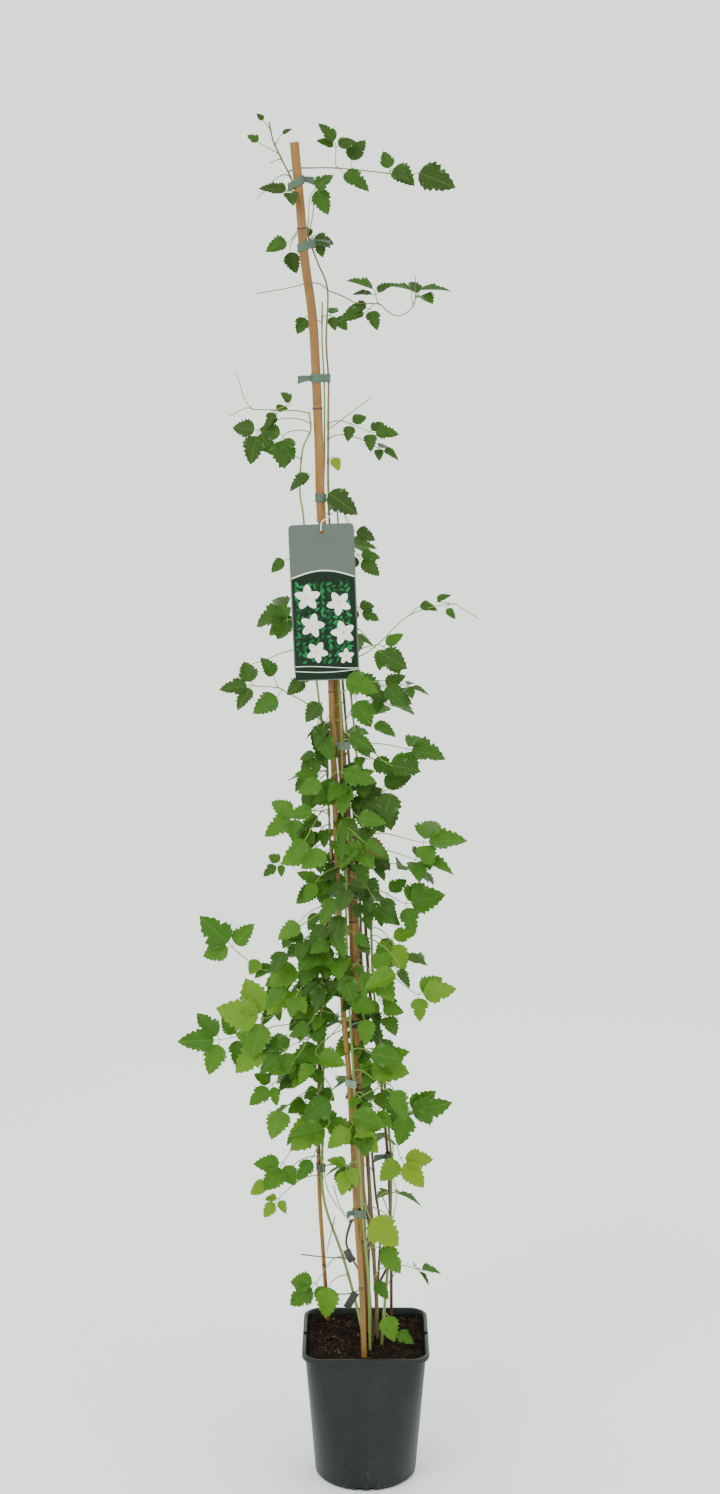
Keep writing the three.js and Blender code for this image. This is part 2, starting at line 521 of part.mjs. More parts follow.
function buildPot() {
  const shoulder = POT.height - POT.rimHeight;
  const { rounding, edge, step } = POT.lip;
  const foot = POT.footRadius - POT.footChamfer;
  const lip = (height, half) => potSection(height, half, POT.cornerRadius + half - POT.shoulderHalf);
  const shell = solidOf(loft([
    [new THREE.Vector3(0, 0, 0)],
    potSection(0, foot, foot),
    wallSection(POT.footChamfer, 0),
    wallSection(shoulder / 2, 0),
    wallSection(shoulder, 0),
    lip(shoulder + step, POT.rimHalf - edge),
    lip(shoulder + 2 * step, POT.rimHalf),
    lip(POT.height - rounding, POT.rimHalf),
    lip(POT.height, POT.rimHalf - rounding),
    lip(POT.height, POT.shoulderHalf + edge),
    lip(POT.height - step, POT.shoulderHalf - edge),
    wallSection(shoulder - POT.innerStep, POT.wall),
    wallSection(shoulder / 2, POT.wall),
    wallSection(POT.floor, POT.wall),
    [new THREE.Vector3(0, 0, POT.floor)],
  ]));
  const cuts = [];
  for (let side = 0; side < 4; side += 1) {
    for (const hand of [-1, 1]) {
      const { depth, width, height, spread, sunk } = POT.slot;
      const slot = new THREE.BoxGeometry(depth, width, height);
      slot.translate(POT.footRadius - sunk, hand * spread, height / 2 - sunk);
      slot.rotateZ(radians(90 * side));
      cuts.push(solidOf(slot));
    }
  }
  for (const hand of [-1, 1]) {
    const notch = new THREE.BoxGeometry(POT.notch.reach, POT.notch.width, POT.notch.depth * 2);
    notch.translate(hand * POT.rimHalf, 0, POT.height);
    cuts.push(solidOf(notch));
  }
  return shell.subtract(wasm.Manifold.union(cuts));
}

// Soil height over the pot's middle: slow waves that leave low hummocks
function soilHeight(x, y) {
  const broad = Math.sin(x / WAVES.x + WAVES.phase) * Math.cos(y / WAVES.y);
  const slanted = Math.sin((x + 2 * y) / WAVES.slant);
  return SOIL.level + SOIL.swell * (broad + WAVES.second * slanted);
}

function buildSoil(holes) {
  const inset = POT.wall + GAP;
  const bottom = POT.floor + GAP;
  const shoulder = POT.height - POT.rimHeight;
  const edgeHeight = SOIL.level - SOIL.swell;
  const edge = wallSection(edgeHeight, inset);
  const top = SOIL.rings.map((scale) => edge.map((point) => {
    const [x, y] = [point.x * scale, point.y * scale];
    return new THREE.Vector3(x, y, soilHeight(x, y));
  }));
  const ball = solidOf(loft([
    [new THREE.Vector3(0, 0, bottom)],
    wallSection(bottom, inset),
    wallSection(shoulder / 2, inset),
    edge,
    ...top,
    [new THREE.Vector3(0, 0, soilHeight(0, 0))],
  ]));
  return ball.subtract(wasm.Manifold.union(holes));
}

// A bamboo cane: swollen joints at even spacing, and a hollow in a thick cane's cut end
function buildCane(cane, extra) {
  const { route, radius, sides, joint, firstJoint, hollow } = cane;
  const top = route[route.length - 1][2];
  const stops = [[0, 0]];
  for (let k = 1; k < route.length - 1; k += 1) stops.push([k, 0]);
  for (let height = firstJoint; height < top - JOINT.fromTop; height += joint) {
    const place = placeAtHeight(route, height);
    const reach = placeAtHeight(route, height + JOINT.halfLength) - place;
    stops.push([place - reach, 0], [place, JOINT.swell], [place + reach, JOINT.groove]);
  }
  stops.push([route.length - 1, 0]);
  stops.sort((a, b) => a[0] - b[0]);
  const clear = (place, i) => place - stops[i - 1][0] > JOINT.step && stops[i + 1][0] - place > JOINT.step;
  const kept = stops.filter(([place, swell], i) => (
    swell !== 0 || i === 0 || i === stops.length - 1 || clear(place, i)));
  const centres = kept.map(([place]) => along(route, place));
  const radii = kept.map(([, swell]) => radius * (1 + swell) + extra);
  const rings = tubeRings(centres, radii, sides);
  if (hollow && extra === 0) {
    const end = centres[centres.length - 1];
    const down = centres[centres.length - 2].clone().sub(end).normalize();
    const rim = rings[rings.length - 1];
    const ring = (share, depth) => rim.map((point) => point.clone().sub(end)
      .multiplyScalar(share)
      .add(end)
      .addScaledVector(down, depth));
    rings.push(ring(HOLLOW.mouth, 0));
    rings.push(ring(HOLLOW.mouth * HOLLOW.taper, hollow));
    rings.push([end.clone().addScaledVector(down, hollow + HOLLOW.point)]);
  }
  return solidOf(loft(rings));
}

// One blade as points and triangles: three-lobed, folded along a raised rib and curling down at the
// tip. Both faces share the margin and are split into triangles alike. `ring` numbers the four points
// of the stalk's end (top, right, under, left), and the blade's own points are numbered from `first`.
function blade(base, ahead, face, length, seed, ring, first) {
  const right = new THREE.Vector3().crossVectors(ahead, face);
  const half = length * BLADE.halfWidth * within(BLADE.widths, chance(seed, 1, 0));
  const fold = within(BLADE.fold, chance(seed, 2, 0));
  const curl = within(BLADE.curl, chance(seed, 3, 0));
  const notch = within(BLADE.notch, chance(seed, 4, 0));
  const place = (t, w, lift) => base.clone()
    .addScaledVector(ahead, t * length)
    .addScaledVector(right, w * half)
    .addScaledVector(face, Math.abs(w) * half * fold + lift - curl * length * t * t);
  const margin = [...BLADE.shoulders, [BLADE.notchAt, notch], BLADE.lobe];
  const points = [
    place(BLADE.ribAt, 0, BLADE.rib),
    place(BLADE.ribAt, 0, -BLADE.rib),
    place(1, 0, 0),
    ...margin.map(([t, w]) => place(t, w, 0)),
    ...margin.map(([t, w]) => place(t, -w, 0)),
  ];
  const [top, rightEdge, under, leftEdge] = ring;
  const [ribTop, ribUnder, tip, rightMargin] = [first, first + 1, first + 2, first + 3];
  const leftMargin = rightMargin + margin.length;
  const furthest = margin.length - 1;
  const triangles = [];
  const halfBlade = (start, rib, edge, side, turned) => {
    const fan = [[start, edge, side], [start, side, rib]];
    for (let k = 0; k < furthest; k += 1) fan.push([rib, side + k, side + k + 1]);
    fan.push([rib, side + furthest, tip]);
    fan.forEach(([a, b, c]) => triangles.push(turned ? [a, c, b] : [a, b, c]));
  };
  halfBlade(top, ribTop, rightEdge, rightMargin, false);
  halfBlade(top, ribTop, leftEdge, leftMargin, true);
  halfBlade(under, ribUnder, rightEdge, rightMargin, true);
  halfBlade(under, ribUnder, leftEdge, leftMargin, false);
  return { points, triangles };
}

// A four-sided stalk through the stations with a blade on its far end, and on its near end where
// `near` gives one. Each end is { length, seed }, and a length of 0 leaves the stalk bare.
function stalkWithBlades(stations, radii, normals, far, near) {
  const count = stations.length;
  const points = [];
  const frames = stations.map((station, i) => {
    const next = stations[Math.min(i + 1, count - 1)].clone();
    const ahead = next.sub(stations[Math.max(i - 1, 0)]).normalize();
    const face = normals[i].clone().addScaledVector(ahead, -normals[i].dot(ahead)).normalize();
    const right = new THREE.Vector3().crossVectors(ahead, face);
    for (const [way, sign] of [[face, 1], [right, 1], [face, -1], [right, -1]]) {
      points.push(station.clone().addScaledVector(way, sign * radii[i]));
    }
    return { station, ahead, face };
  });
  const triangles = [];
  for (let i = 0; i + 1 < count; i += 1) {
    for (let k = 0; k < 4; k += 1) {
      const [a, b] = [4 * i + k, 4 * i + ((k + 1) % 4)];
      triangles.push([a, b + 4, a + 4], [a, b, b + 4]);
    }
  }
  const closeEnd = (frame, sign, ring, end) => {
    if (!end || end.length === 0) {
      triangles.push([ring[0], ring[1], ring[2]], [ring[0], ring[2], ring[3]]);
      return;
    }
    const ahead = frame.ahead.clone().multiplyScalar(sign);
    const made = blade(frame.station, ahead, frame.face, end.length, end.seed, ring, points.length);
    points.push(...made.points);
    triangles.push(...made.triangles);
  };
  const last = 4 * (count - 1);
  closeEnd(frames[count - 1], 1, [last, last + 1, last + 2, last + 3], far);
  closeEnd(frames[0], -1, [0, 3, 2, 1], near);
  return solidOf(indexedGeometry(points, triangles));
}

// One leaf: a stalk that arches away from the stem to its end point, an end leaflet, and pairs of
// side leaflets, each pair on one bar across the stalk
function leaf(start, row, stemRadius, seed) {
  const [, , endPoint, tipPoint, pairs = 0, tilt = 0] = row;
  const end = vector(endPoint);
  const chord = end.distanceTo(start);
  const level = end.clone().sub(start).setZ(0).normalize();
  const leave = level.clone().addScaledVector(UP, STALK.rise).normalize();
  const length = tipPoint ? vector(tipPoint).distanceTo(end) : 0;
  const aim = tipPoint ? vector(tipPoint).sub(end).normalize() : end.clone().sub(start).normalize();
  const curve = new THREE.CubicBezierCurve3(
    start,
    start.clone().addScaledVector(leave, STALK.leave * chord),
    end.clone().addScaledVector(aim, -STALK.arrive * chord),
    end,
  );
  const facing = end.y > OUTWARD_FROM ? level : FRONT;
  const roll = radians(STALK.roll * (chance(seed, 5, 0) - 0.5));
  const normal = UP.clone().multiplyScalar(Math.cos(radians(tilt)))
    .addScaledVector(facing, Math.sin(radians(tilt)))
    .applyAxisAngle(aim, roll);
  const stations = curve.getPoints(STALK.steps);
  const thick = Math.min(STALK.radius, STALK.shareOfStem * stemRadius);
  const radii = stations.map((_, i) => THREE.MathUtils.lerp(thick, BLADE.rib, i / STALK.steps));
  const solids = [stalkWithBlades(stations, radii, stations.map(() => normal), { length, seed })];
  const shown = length < PAIR.from ? 0 : Math.min(pairs, 1);
  for (let pair = 0; pair < shown; pair += 1) {
    const place = 1 - Math.min((PAIR.first + PAIR.step * pair) / chord, PAIR.furthest);
    const node = curve.getPoint(place);
    const forward = curve.getTangent(place);
    const across = new THREE.Vector3().crossVectors(forward, normal).normalize();
    const sides = [1, -1].map((hand) => {
      const draw = (k) => chance(seed, 10 + k + 20 * pair, hand + 2);
      const angle = radians(PAIR.angle + PAIR.angles * (draw(0) - 0.5));
      const way = forward.clone().multiplyScalar(Math.cos(angle))
        .addScaledVector(across, hand * Math.sin(angle))
        .addScaledVector(UP, -PAIR.droop * draw(1))
        .normalize();
      const size = length * (PAIR.size - PAIR.shrink * pair) * within(PAIR.sizes, draw(3));
      return {
        base: node.clone().addScaledVector(way, PAIR.bare * size),
        turn: normal.clone().addScaledVector(across, PAIR.twist * (draw(2) - 0.5)),
        length: size,
        seed: seed + 1000 * (pair + 1) + 500 * hand,
      };
    });
    solids.push(stalkWithBlades(
      [sides[1].base, node, sides[0].base],
      [BLADE.rib, BLADE.rib, BLADE.rib],
      [sides[1].turn, normal, sides[0].turn],
      sides[0],
      sides[1],
    ));
  }
  return solids;
}

function farSideLeaf(i) {
  const height = FAR_SIDE.low + FAR_SIDE.step * i;
  const turn = ((i * FAR_SIDE.golden) % 1) * 2 - 1;
  const aside = FAR_SIDE.spread * turn;
  const azimuth = FAR_SIDE.middle + aside;
  const leftward = aside > FAR_SIDE.side;
  let on = 'back';
  if (aside < -FAR_SIDE.side) on = 'right';
  if (leftward && height > FAR_SIDE.leftFrom) on = 'left';
  if (height > FAR_SIDE.secondFrom) on = leftward ? 'left' : 'second';
  const stem = stemStart(on, height);
  const out = new THREE.Vector3(Math.cos(radians(azimuth)), Math.sin(radians(azimuth)), 0);
  const reach = within(FAR_SIDE.reach, chance(i, 7, 1));
  const size = within(FAR_SIDE.size, chance(i, 8, 1));
  const end = stem.clone().addScaledVector(out, reach);
  end.z -= FAR_SIDE.drop * chance(i, 9, 1);
  const tip = end.clone().addScaledVector(out, size);
  tip.z -= FAR_SIDE.tipDrop * (FAR_SIDE.tipShare + chance(i, 6, 1));
  return [on, height, end.toArray(), tip.toArray(), 1, FAR_SIDE.tilt];
}

// The centre and radius of a cane or stem at a height
function roundAt(name, height) {
  if (CANES[name]) {
    const { route, radius } = CANES[name];
    return { centre: along(route, placeAtHeight(route, height)), radius };
  }
  return { centre: stemStart(name, height), radius: stemRadius(name, height) };
}

// The convex outline round a set of flat points, anticlockwise
function outlineRound(points) {
  const sorted = [...points].sort((a, b) => a.x - b.x || a.y - b.y);
  const turn = (o, a, b) => (a.x - o.x) * (b.y - o.y) - (a.y - o.y) * (b.x - o.x);
  const half = (list) => list.reduce((chain, point) => {
    const bend = () => turn(chain[chain.length - 2], chain[chain.length - 1], point);
    while (chain.length > 1 && bend() <= FLAT_TURN) chain.pop();
    return [...chain, point];
  }, []).slice(0, -1);
  return [...half(sorted), ...half(sorted.reverse())];
}

// A tie: a band of flexible tape drawn round the pieces it holds, with one free tail
function buildTie({ height, slope, around, tail }) {
  const band = (extra) => {
    const points = [];
    for (const name of around) {
      for (const side of [-1, 1]) {
        const { centre, radius } = roundAt(name, height + side * TAPE.height * (0.5 + slope));
        const reach = (radius + TAPE.clearance) / Math.cos(Math.PI / TAPE.facets) + extra;
        for (let k = 0; k < TAPE.facets; k += 1) {
          const angle = (2 * Math.PI * (k + 0.5)) / TAPE.facets;
          points.push(new THREE.Vector2(
            centre.x + reach * Math.cos(angle),
            centre.y + reach * Math.sin(angle),
          ));
        }
      }
    }
    return outlineRound(points);
  };
  const outside = band(TAPE.thickness);
  const shape = new THREE.Shape(outside);
  shape.holes.push(new THREE.Path(band(0)));
  const settings = { depth: TAPE.height, bevelEnabled: false };
  const pieces = [new THREE.ExtrudeGeometry(shape, settings)];
  const middle = outside.reduce((sum, point) => sum.add(point), new THREE.Vector2())
    .divideScalar(outside.length);
  const [tailSide, tailLength] = tail;
  if (tailLength > 0) {
    const way = new THREE.Vector2(Math.cos(radians(tailSide)), Math.sin(radians(tailSide)));
    const corner = outside.reduce((best, point) => (point.dot(way) > best.dot(way) ? point : best));
    const flank = new THREE.Vector2(-way.y, way.x).multiplyScalar(TAPE.thickness / 2);
    const start = corner.clone().addScaledVector(way, -TAPE.thickness * TAPE.sunk);
    const tip = corner.clone().addScaledVector(way, tailLength).sub(new THREE.Vector2(0, TAPE.tailDrop));
    pieces.push(new THREE.ExtrudeGeometry(new THREE.Shape([
      start.clone().sub(flank),
      tip.clone().sub(flank),
      tip.clone().add(flank),
      start.clone().add(flank),
    ]), settings));
  }
  pieces.forEach((piece) => {
    const { position } = piece.attributes;
    for (let i = 0; i < position.count; i += 1) {
      const rise = height - TAPE.height / 2 + slope * (position.getX(i) - middle.x);
      position.setZ(i, position.getZ(i) + rise);
    }
  });
  return joined(pieces.map(solidOf));
}

// The card label: a thin plate with round corners and a punched hole, hanging in front of the cane
function buildLabel() {
  const { width, height, thickness, corner, cornerSteps, holeRadius, holeDrop } = LABEL;
  const [right, top] = [width / 2, holeDrop];
  const bottom = top - height;
  const card = new THREE.Shape();
  card.moveTo(-right + corner, bottom);
  card.absarc(right - corner, bottom + corner, corner, radians(-90), 0);
  card.absarc(right - corner, top - corner, corner, 0, radians(90));
  card.absarc(-right + corner, top - corner, corner, radians(90), radians(180));
  card.absarc(-right + corner, bottom + corner, corner, radians(180), radians(270));
  card.holes.push(new THREE.Path().absarc(0, 0, holeRadius, 0, radians(360), true));
  const settings = { depth: thickness, bevelEnabled: false, curveSegments: cornerSteps };
  const plate = new THREE.ExtrudeGeometry(card, settings);
  plate.translate(0, 0, -thickness / 2).rotateX(radians(90)).rotateY(radians(LABEL.lean));
  plate.translate(...LABEL.hole);
  return solidOf(plate);
}

// The strap: a closed loop of round cord on its route
function buildStrap() {
  const { route, radius, steps, sides, tension, edgeWay } = STRAP;
  const curve = new THREE.CatmullRomCurve3(route.map(vector), true, 'catmullrom', tension);
  const centres = Array.from({ length: steps }, (_, i) => curve.getPoint(i / steps));
  const points = [];
  centres.forEach((centre, i) => {
    const tangent = centres[(i + 1) % steps].clone().sub(centres[(i + steps - 1) % steps]).normalize();
    const side = new THREE.Vector3().crossVectors(tangent, vector(edgeWay)).normalize();
    const other = new THREE.Vector3().crossVectors(tangent, side);
    for (let k = 0; k < sides; k += 1) {
      const angle = (2 * Math.PI * k) / sides;
      points.push(centre.clone()
        .addScaledVector(side, radius * Math.cos(angle))
        .addScaledVector(other, radius * Math.sin(angle)));
    }
  });
  const triangles = [];
  for (let i = 0; i < steps; i += 1) {
    for (let k = 0; k < sides; k += 1) {
      const [a, b] = [sides * i + k, sides * i + ((k + 1) % sides)];
      const [c, d] = [a, b].map((index) => (index + sides) % (sides * steps));
      triangles.push([a, b, d], [a, d, c]);
    }
  }
  return solidOf(indexedGeometry(points, triangles));
}

function vineNamed(name) {
  return Object.values(VINES).find((vine) => vine.name === name);
}

function stemStart(on, where) {
  const vine = vineNamed(on);
  if (vine) return along(vine.route, placeAtHeight(vine.route, where));
  return along(SHOOTS[on].route, where);
}

// The stem's radius where a leaf leaves it
function stemRadius(on, where) {
  const vine = vineNamed(on);
  if (!vine) return SHOOTS[on].radius;
  const share = placeAtHeight(vine.route, where) / (vine.route.length - 1);
  return THREE.MathUtils.lerp(vine.radii[0], vine.radii[1], share);
}

const FAR_LEAVES = Array.from({ length: FAR_SIDE.count }, (_, i) => farSideLeaf(i));
const ROWS = [...LEAVES, ...FAR_LEAVES, ...MIDDLE_LEAVES];

function buildVine(vine) {
  const solids = [bar(vine.route, vine.radii, STEM.sides)];
  const own = [vine.name];
  for (const [name, shoot] of Object.entries(SHOOTS)) {
    if (shoot.from === vine.name) {
      solids.push(bar(shoot.route, [shoot.radius, shoot.radius * STEM.shootTaper], STEM.shootSides));
      own.push(name);
    }
  }
  ROWS.forEach((row, i) => {
    const [on, where] = row;
    if (own.includes(on)) solids.push(...leaf(stemStart(on, where), row, stemRadius(on, where), i + 1));
  });
  return joined(solids);
}

const NODES = [];
function addNode(name, solid, colour, roughness) {
  NODES.push({ name, solid, colour, roughness });
}

const holes = [];
for (const [name, cane] of Object.entries(CANES)) {
  addNode(name, buildCane(cane, 0), cane.colour, 0.5);
  holes.push(buildCane(cane, GAP));
}
for (const [name, vine] of Object.entries(VINES)) {
  addNode(name, buildVine(vine), vine.colour, 0.55);
  const [[x, y, z], ...upper] = vine.route.slice(0, STEM.holePoints);
  const wide = (vine.radii[0] + GAP) / Math.cos(Math.PI / STEM.holeSides);
  holes.push(bar([[x, y, z - STEM.holeDepth], ...upper], [wide, wide], STEM.holeSides));
}
for (const [name, tie] of Object.entries(TIES)) addNode(name, buildTie(tie), COLOUR.tape, 0.5);
addNode('label', buildLabel(), COLOUR.card, 0.4);
addNode('label_strap', buildStrap(), COLOUR.strap, 0.4);
addNode('pot', buildPot(), COLOUR.pot, 0.45);
addNode('soil', buildSoil(holes), COLOUR.soil, 0.95);

const plant = new THREE.Group();
for (const { name, solid, colour, roughness } of NODES) {
  const material = new THREE.MeshStandardMaterial({ color: colour, roughness, metalness: 0 });
  const mesh = new THREE.Mesh(geometryOf(solid), material);
  mesh.name = name;
  plant.add(mesh);
}

export default plant;
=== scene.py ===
import bpy
import numpy as np
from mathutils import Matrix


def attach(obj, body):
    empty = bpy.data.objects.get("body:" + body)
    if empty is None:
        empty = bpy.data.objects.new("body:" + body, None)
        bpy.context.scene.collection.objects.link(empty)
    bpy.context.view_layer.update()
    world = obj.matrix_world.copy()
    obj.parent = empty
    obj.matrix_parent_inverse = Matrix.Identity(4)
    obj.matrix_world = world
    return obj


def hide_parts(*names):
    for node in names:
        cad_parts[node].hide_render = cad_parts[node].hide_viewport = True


# A young clematis in a square nursery pot, twined and tied up a bundle of bamboo canes.
# Sizes are millimetres in the part's own frame: +Z up, -Y the front, the origin under the pot.
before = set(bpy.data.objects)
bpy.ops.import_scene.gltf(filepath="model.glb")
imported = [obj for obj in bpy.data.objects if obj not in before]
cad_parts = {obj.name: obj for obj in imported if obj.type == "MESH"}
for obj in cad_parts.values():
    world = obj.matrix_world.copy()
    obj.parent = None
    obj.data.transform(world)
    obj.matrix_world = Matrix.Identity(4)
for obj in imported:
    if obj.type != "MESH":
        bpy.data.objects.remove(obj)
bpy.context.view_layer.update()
MM = 0.001


# The pot: one thin shell of dark grey-green polypropylene, injection moulded in a single shot. It is
# square with round corners at the lip and tapers to a round foot with drainage slots.
POT = {"height": 207, "rim_half": 90, "shoulder": 199, "shoulder_half": 85, "corner": 22,
       "foot": 72.5, "chamfer": 3, "wall": 1.9, "floor": 3, "fillet": 4, "centre": 4}
SLOT = {"depth": 12, "width": 7, "height": 7, "spread": 9, "sunk": 1}
NOTCH = {"reach": 16, "width": 9, "depth": 4.5}


class Value:
    """One number output of a shader node. Arithmetic on it adds the Math node that does it."""

    def __init__(self, finish, socket):
        self.finish, self.socket = finish, socket

    def math(self, operation, *others):
        inputs = dict(enumerate((self, *others)))
        return self.finish.node("ShaderNodeMath", {"operation": operation}, inputs)

    def __add__(self, other):
        return self.math("ADD", other)

    def __sub__(self, other):
        return self.math("SUBTRACT", other)

    def __rsub__(self, other):
        return self.finish.node("ShaderNodeMath", {"operation": "SUBTRACT"}, {0: other, 1: self})

    def __mul__(self, other):
        return self.math("MULTIPLY", other)

    __radd__, __rmul__ = __add__, __mul__

    def step(self, low, high):
        """0 below `low`, 1 above `high`, and an even ramp between them."""
        return self.finish.node("ShaderNodeMapRange", {}, {0: self, 1: low, 2: high})


class Finish:
    """A material: a Principled shader with fixed values, to which nodes are added one by one."""

    def __init__(self, name, **fixed):
        self.material = bpy.data.materials.new(name)
        self.material.use_nodes = True
        self.tree = self.material.node_tree
        self.shader = self.tree.nodes["Principled BSDF"]
        for socket, value in fixed.items():
            self.shader.inputs[socket.replace("_", " ")].default_value = value

    def node(self, kind, settings, inputs, output=0):
        """Adds a node: its settings first, then the values or links of its sockets."""
        made = self.tree.nodes.new(kind)
        for key, value in settings.items():
            if key == "stops":
                self.set_stops(made.color_ramp, value)
            else:
                setattr(made, key, value)
        for key, value in inputs.items():
            self.feed(made.inputs[key], value)
        return Value(self, made.outputs[output])

    def set_stops(self, ramp, stops):
        while len(ramp.elements) < len(stops):
            ramp.elements.new(1)
        for element, (place, colour) in zip(ramp.elements, stops):
            element.position = place
            element.color = (*colour, 1)

    def feed(self, socket, value):
        if isinstance(value, Value):
            self.tree.links.new(value.socket, socket)
        elif socket.type == "RGBA":
            socket.default_value = (*value, 1)
        else:
            socket.default_value = value

    def place(self, stretch=(1, 1, 1)):
        """The point on the piece in metres, each axis multiplied by its stretch."""
        where = self.node("ShaderNodeTexCoord", {}, {}, "Object")
        return self.node("ShaderNodeVectorMath", {"operation": "MULTIPLY"}, {0: where, 1: stretch})

    def noise(self, scale, detail=3.0, stretch=(1, 1, 1), roughness=0.5):
        inputs = {"Vector": self.place(stretch), "Scale": scale, "Detail": detail,
                  "Roughness": roughness}
        return self.node("ShaderNodeTexNoise", {}, inputs)

    def look(self, output="Color"):
        """The colour attribute `look`, in which a piece gives its finish four numbers."""
        return self.node("ShaderNodeAttribute", {"attribute_name": "look"}, {}, output)

    def numbers(self, count):
        """The first `count` of the three numbers in the colour of `look`."""
        look = self.look()
        return [self.node("ShaderNodeSeparateColor", {}, {0: look}, place) for place in range(count)]

    def mix(self, share, first, second):
        """The first colour where the share is 0, the second where it is 1."""
        inputs = {0: share, 6: first, 7: second}
        return self.node("ShaderNodeMix", {"data_type": "RGBA"}, inputs, 2)

    def ramp(self, value, *stops):
        return self.node("ShaderNodeValToRGB", {"stops": stops}, {0: value})

    def bump(self, height, distance, strength=1.0):
        """Feeds the shader's Normal with relief: `distance` is metres for a height of one."""
        made = self.node("ShaderNodeBump", {}, {"Height": height, "Distance": distance,
                                                "Strength": strength})
        self.feed(self.shader.inputs["Normal"], made)

    def set(self, socket, value):
        self.feed(self.shader.inputs[socket], value)

    def solid(self):
        return Value(self, self.shader.outputs[0])


def surface(points, quads=(), tris=(), look=None, under=None):
    """Points, faces and, for each point, three numbers that its finish reads."""
    points = np.asarray(points, float).reshape(-1, 3)
    quads = np.asarray(quads, int).reshape(-1, 4)
    tris = np.asarray(tris, int).reshape(-1, 3)
    look = np.zeros((len(points), 3)) if look is None else np.broadcast_to(look, (len(points), 3))
    under = np.zeros(len(quads) + len(tris)) if under is None else under
    return {"points": points, "quads": quads, "tris": tris, "look": look, "under": under,
            "uv": np.zeros((len(points), 2))}


def merged(parts):
    """One surface from several: each part's faces count on from the points before it."""
    sizes = np.array([len(part["points"]) for part in parts])
    starts = np.concatenate([[0], np.cumsum(sizes)[:-1]])
    quad_under = [part["under"][:len(part["quads"])] for part in parts]
    tri_under = [part["under"][len(part["quads"]):] for part in parts]
    return {
        "points": np.vstack([part["points"] for part in parts]),
        "quads": np.vstack([part["quads"] + start for part, start in zip(parts, starts)]),
        "tris": np.vstack([part["tris"] + start for part, start in zip(parts, starts)]),
        "look": np.vstack([part["look"] for part in parts]),
        "uv": np.vstack([part["uv"] for part in parts]),
        "under": np.concatenate(quad_under + tri_under),
    }


def make_piece(name, shape, finish, replaced=(), sharp=40):
    """Makes the mesh, smooth except where faces meet at more than `sharp` degrees. Its corners carry
    the finish's numbers as the colour attribute `look`, whose alpha is 1 on an underside."""
    mesh = bpy.data.meshes.new(name)
    faces = shape["quads"].tolist() + shape["tris"].tolist()
    mesh.from_pydata((shape["points"] * MM).tolist(), [], faces)
    mesh.polygons.foreach_set("use_smooth", np.ones(len(faces), bool))
    mesh.set_sharp_from_angle(angle=np.radians(sharp))
    corners = np.empty(len(mesh.loops), int)
    mesh.loops.foreach_get("vertex_index", corners)
    per_face = np.concatenate([np.full(len(shape["quads"]), 4), np.full(len(shape["tris"]), 3)])
    values = np.column_stack([shape["look"][corners], np.repeat(shape["under"], per_face)])
    look = mesh.color_attributes.new("look", "FLOAT_COLOR", "CORNER")
    look.data.foreach_set("color", values.astype(np.float32).ravel())
    mesh.uv_layers.new(name="UVMap").data.foreach_set("uv", shape["uv"][corners].ravel())
    mesh.materials.append(finish.material)
    mesh.update()
    piece = bpy.data.objects.new(name, mesh)
    bpy.context.scene.collection.objects.link(piece)
    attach(piece, "root")
    if replaced:
        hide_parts(*replaced)
    return piece


def wrap(rows, columns, closed_rows=False):
    """Quads over a grid of points whose rows are closed rings, joined from each row to the next."""
    row, column = np.meshgrid(np.arange(rows if closed_rows else rows - 1), np.arange(columns),
                              indexing="ij")
    here, along = row * columns, (row + 1) % rows * columns
    beside = (column + 1) % columns
    return np.stack([here + column, here + beside, along + beside, along + column], -1).reshape(-1, 4)


def capped(rings, look=None):
    """A closed skin over rings of equal length, from the first ring's middle to the last ring's."""
    rows, columns = rings.shape[:2]
    points = np.vstack([rings.reshape(-1, 3), rings[0].mean(0), rings[-1].mean(0)])
    ring = np.arange(columns)
    ahead = (ring + 1) % columns
    last = (rows - 1) * columns
    low = np.stack([np.full(columns, rows * columns), ahead, ring], -1)
    high = np.stack([np.full(columns, rows * columns + 1), last + ring, last + ahead], -1)
    if look is not None:
        look = np.vstack([np.repeat(look, columns, 0), look[0], look[-1]])
    return surface(points, wrap(rows, columns), np.vstack([low, high]), look)


def rounded_square(half, radius, per_corner=14, per_side=6):
    """Anticlockwise outline: each corner is a quarter circle round (half - radius) on both axes, and
    straight sides join them. All arguments may be arrays of one value a ring."""
    half, radius = np.atleast_1d(half)[:, None], np.atleast_1d(radius)[:, None]
    turn = np.radians(90) * (np.arange(per_corner) + 0.5) / per_corner
    arc_x, arc_y = half - radius + radius * np.cos(turn), half - radius + radius * np.sin(turn)
    side = np.linspace(1, -1, per_side + 2)[None, 1:-1] * (half - radius)
    x, y = np.hstack([arc_x, side]), np.hstack([arc_y, np.broadcast_to(half, side.shape)])
    quarters = [(x, y), (-y, x), (-x, -y), (y, -x)]
    return np.stack([np.hstack([q[0] for q in quarters]), np.hstack([q[1] for q in quarters])], -1)


def pot_rings(sections, **counts):
    """Rings of the pot from rows of (height, half width, corner radius)."""
    heights, halves, radii = np.asarray(sections, float).T
    flat = rounded_square(halves, radii, **counts)
    return np.dstack([flat, np.broadcast_to(heights[:, None], flat.shape[:2])])


def wall(height, inset):
    """The tapering wall: half width and corner radius both run evenly from foot to shoulder."""
    rise = np.clip(height / POT["shoulder"], 0, 1)
    half = POT["foot"] + (POT["shoulder_half"] - POT["foot"]) * rise
    radius = POT["foot"] + (POT["corner"] - POT["foot"]) * rise
    return height, half - inset, radius - inset


def lip(height, half):
    return height, half, POT["corner"] + half - POT["shoulder_half"]


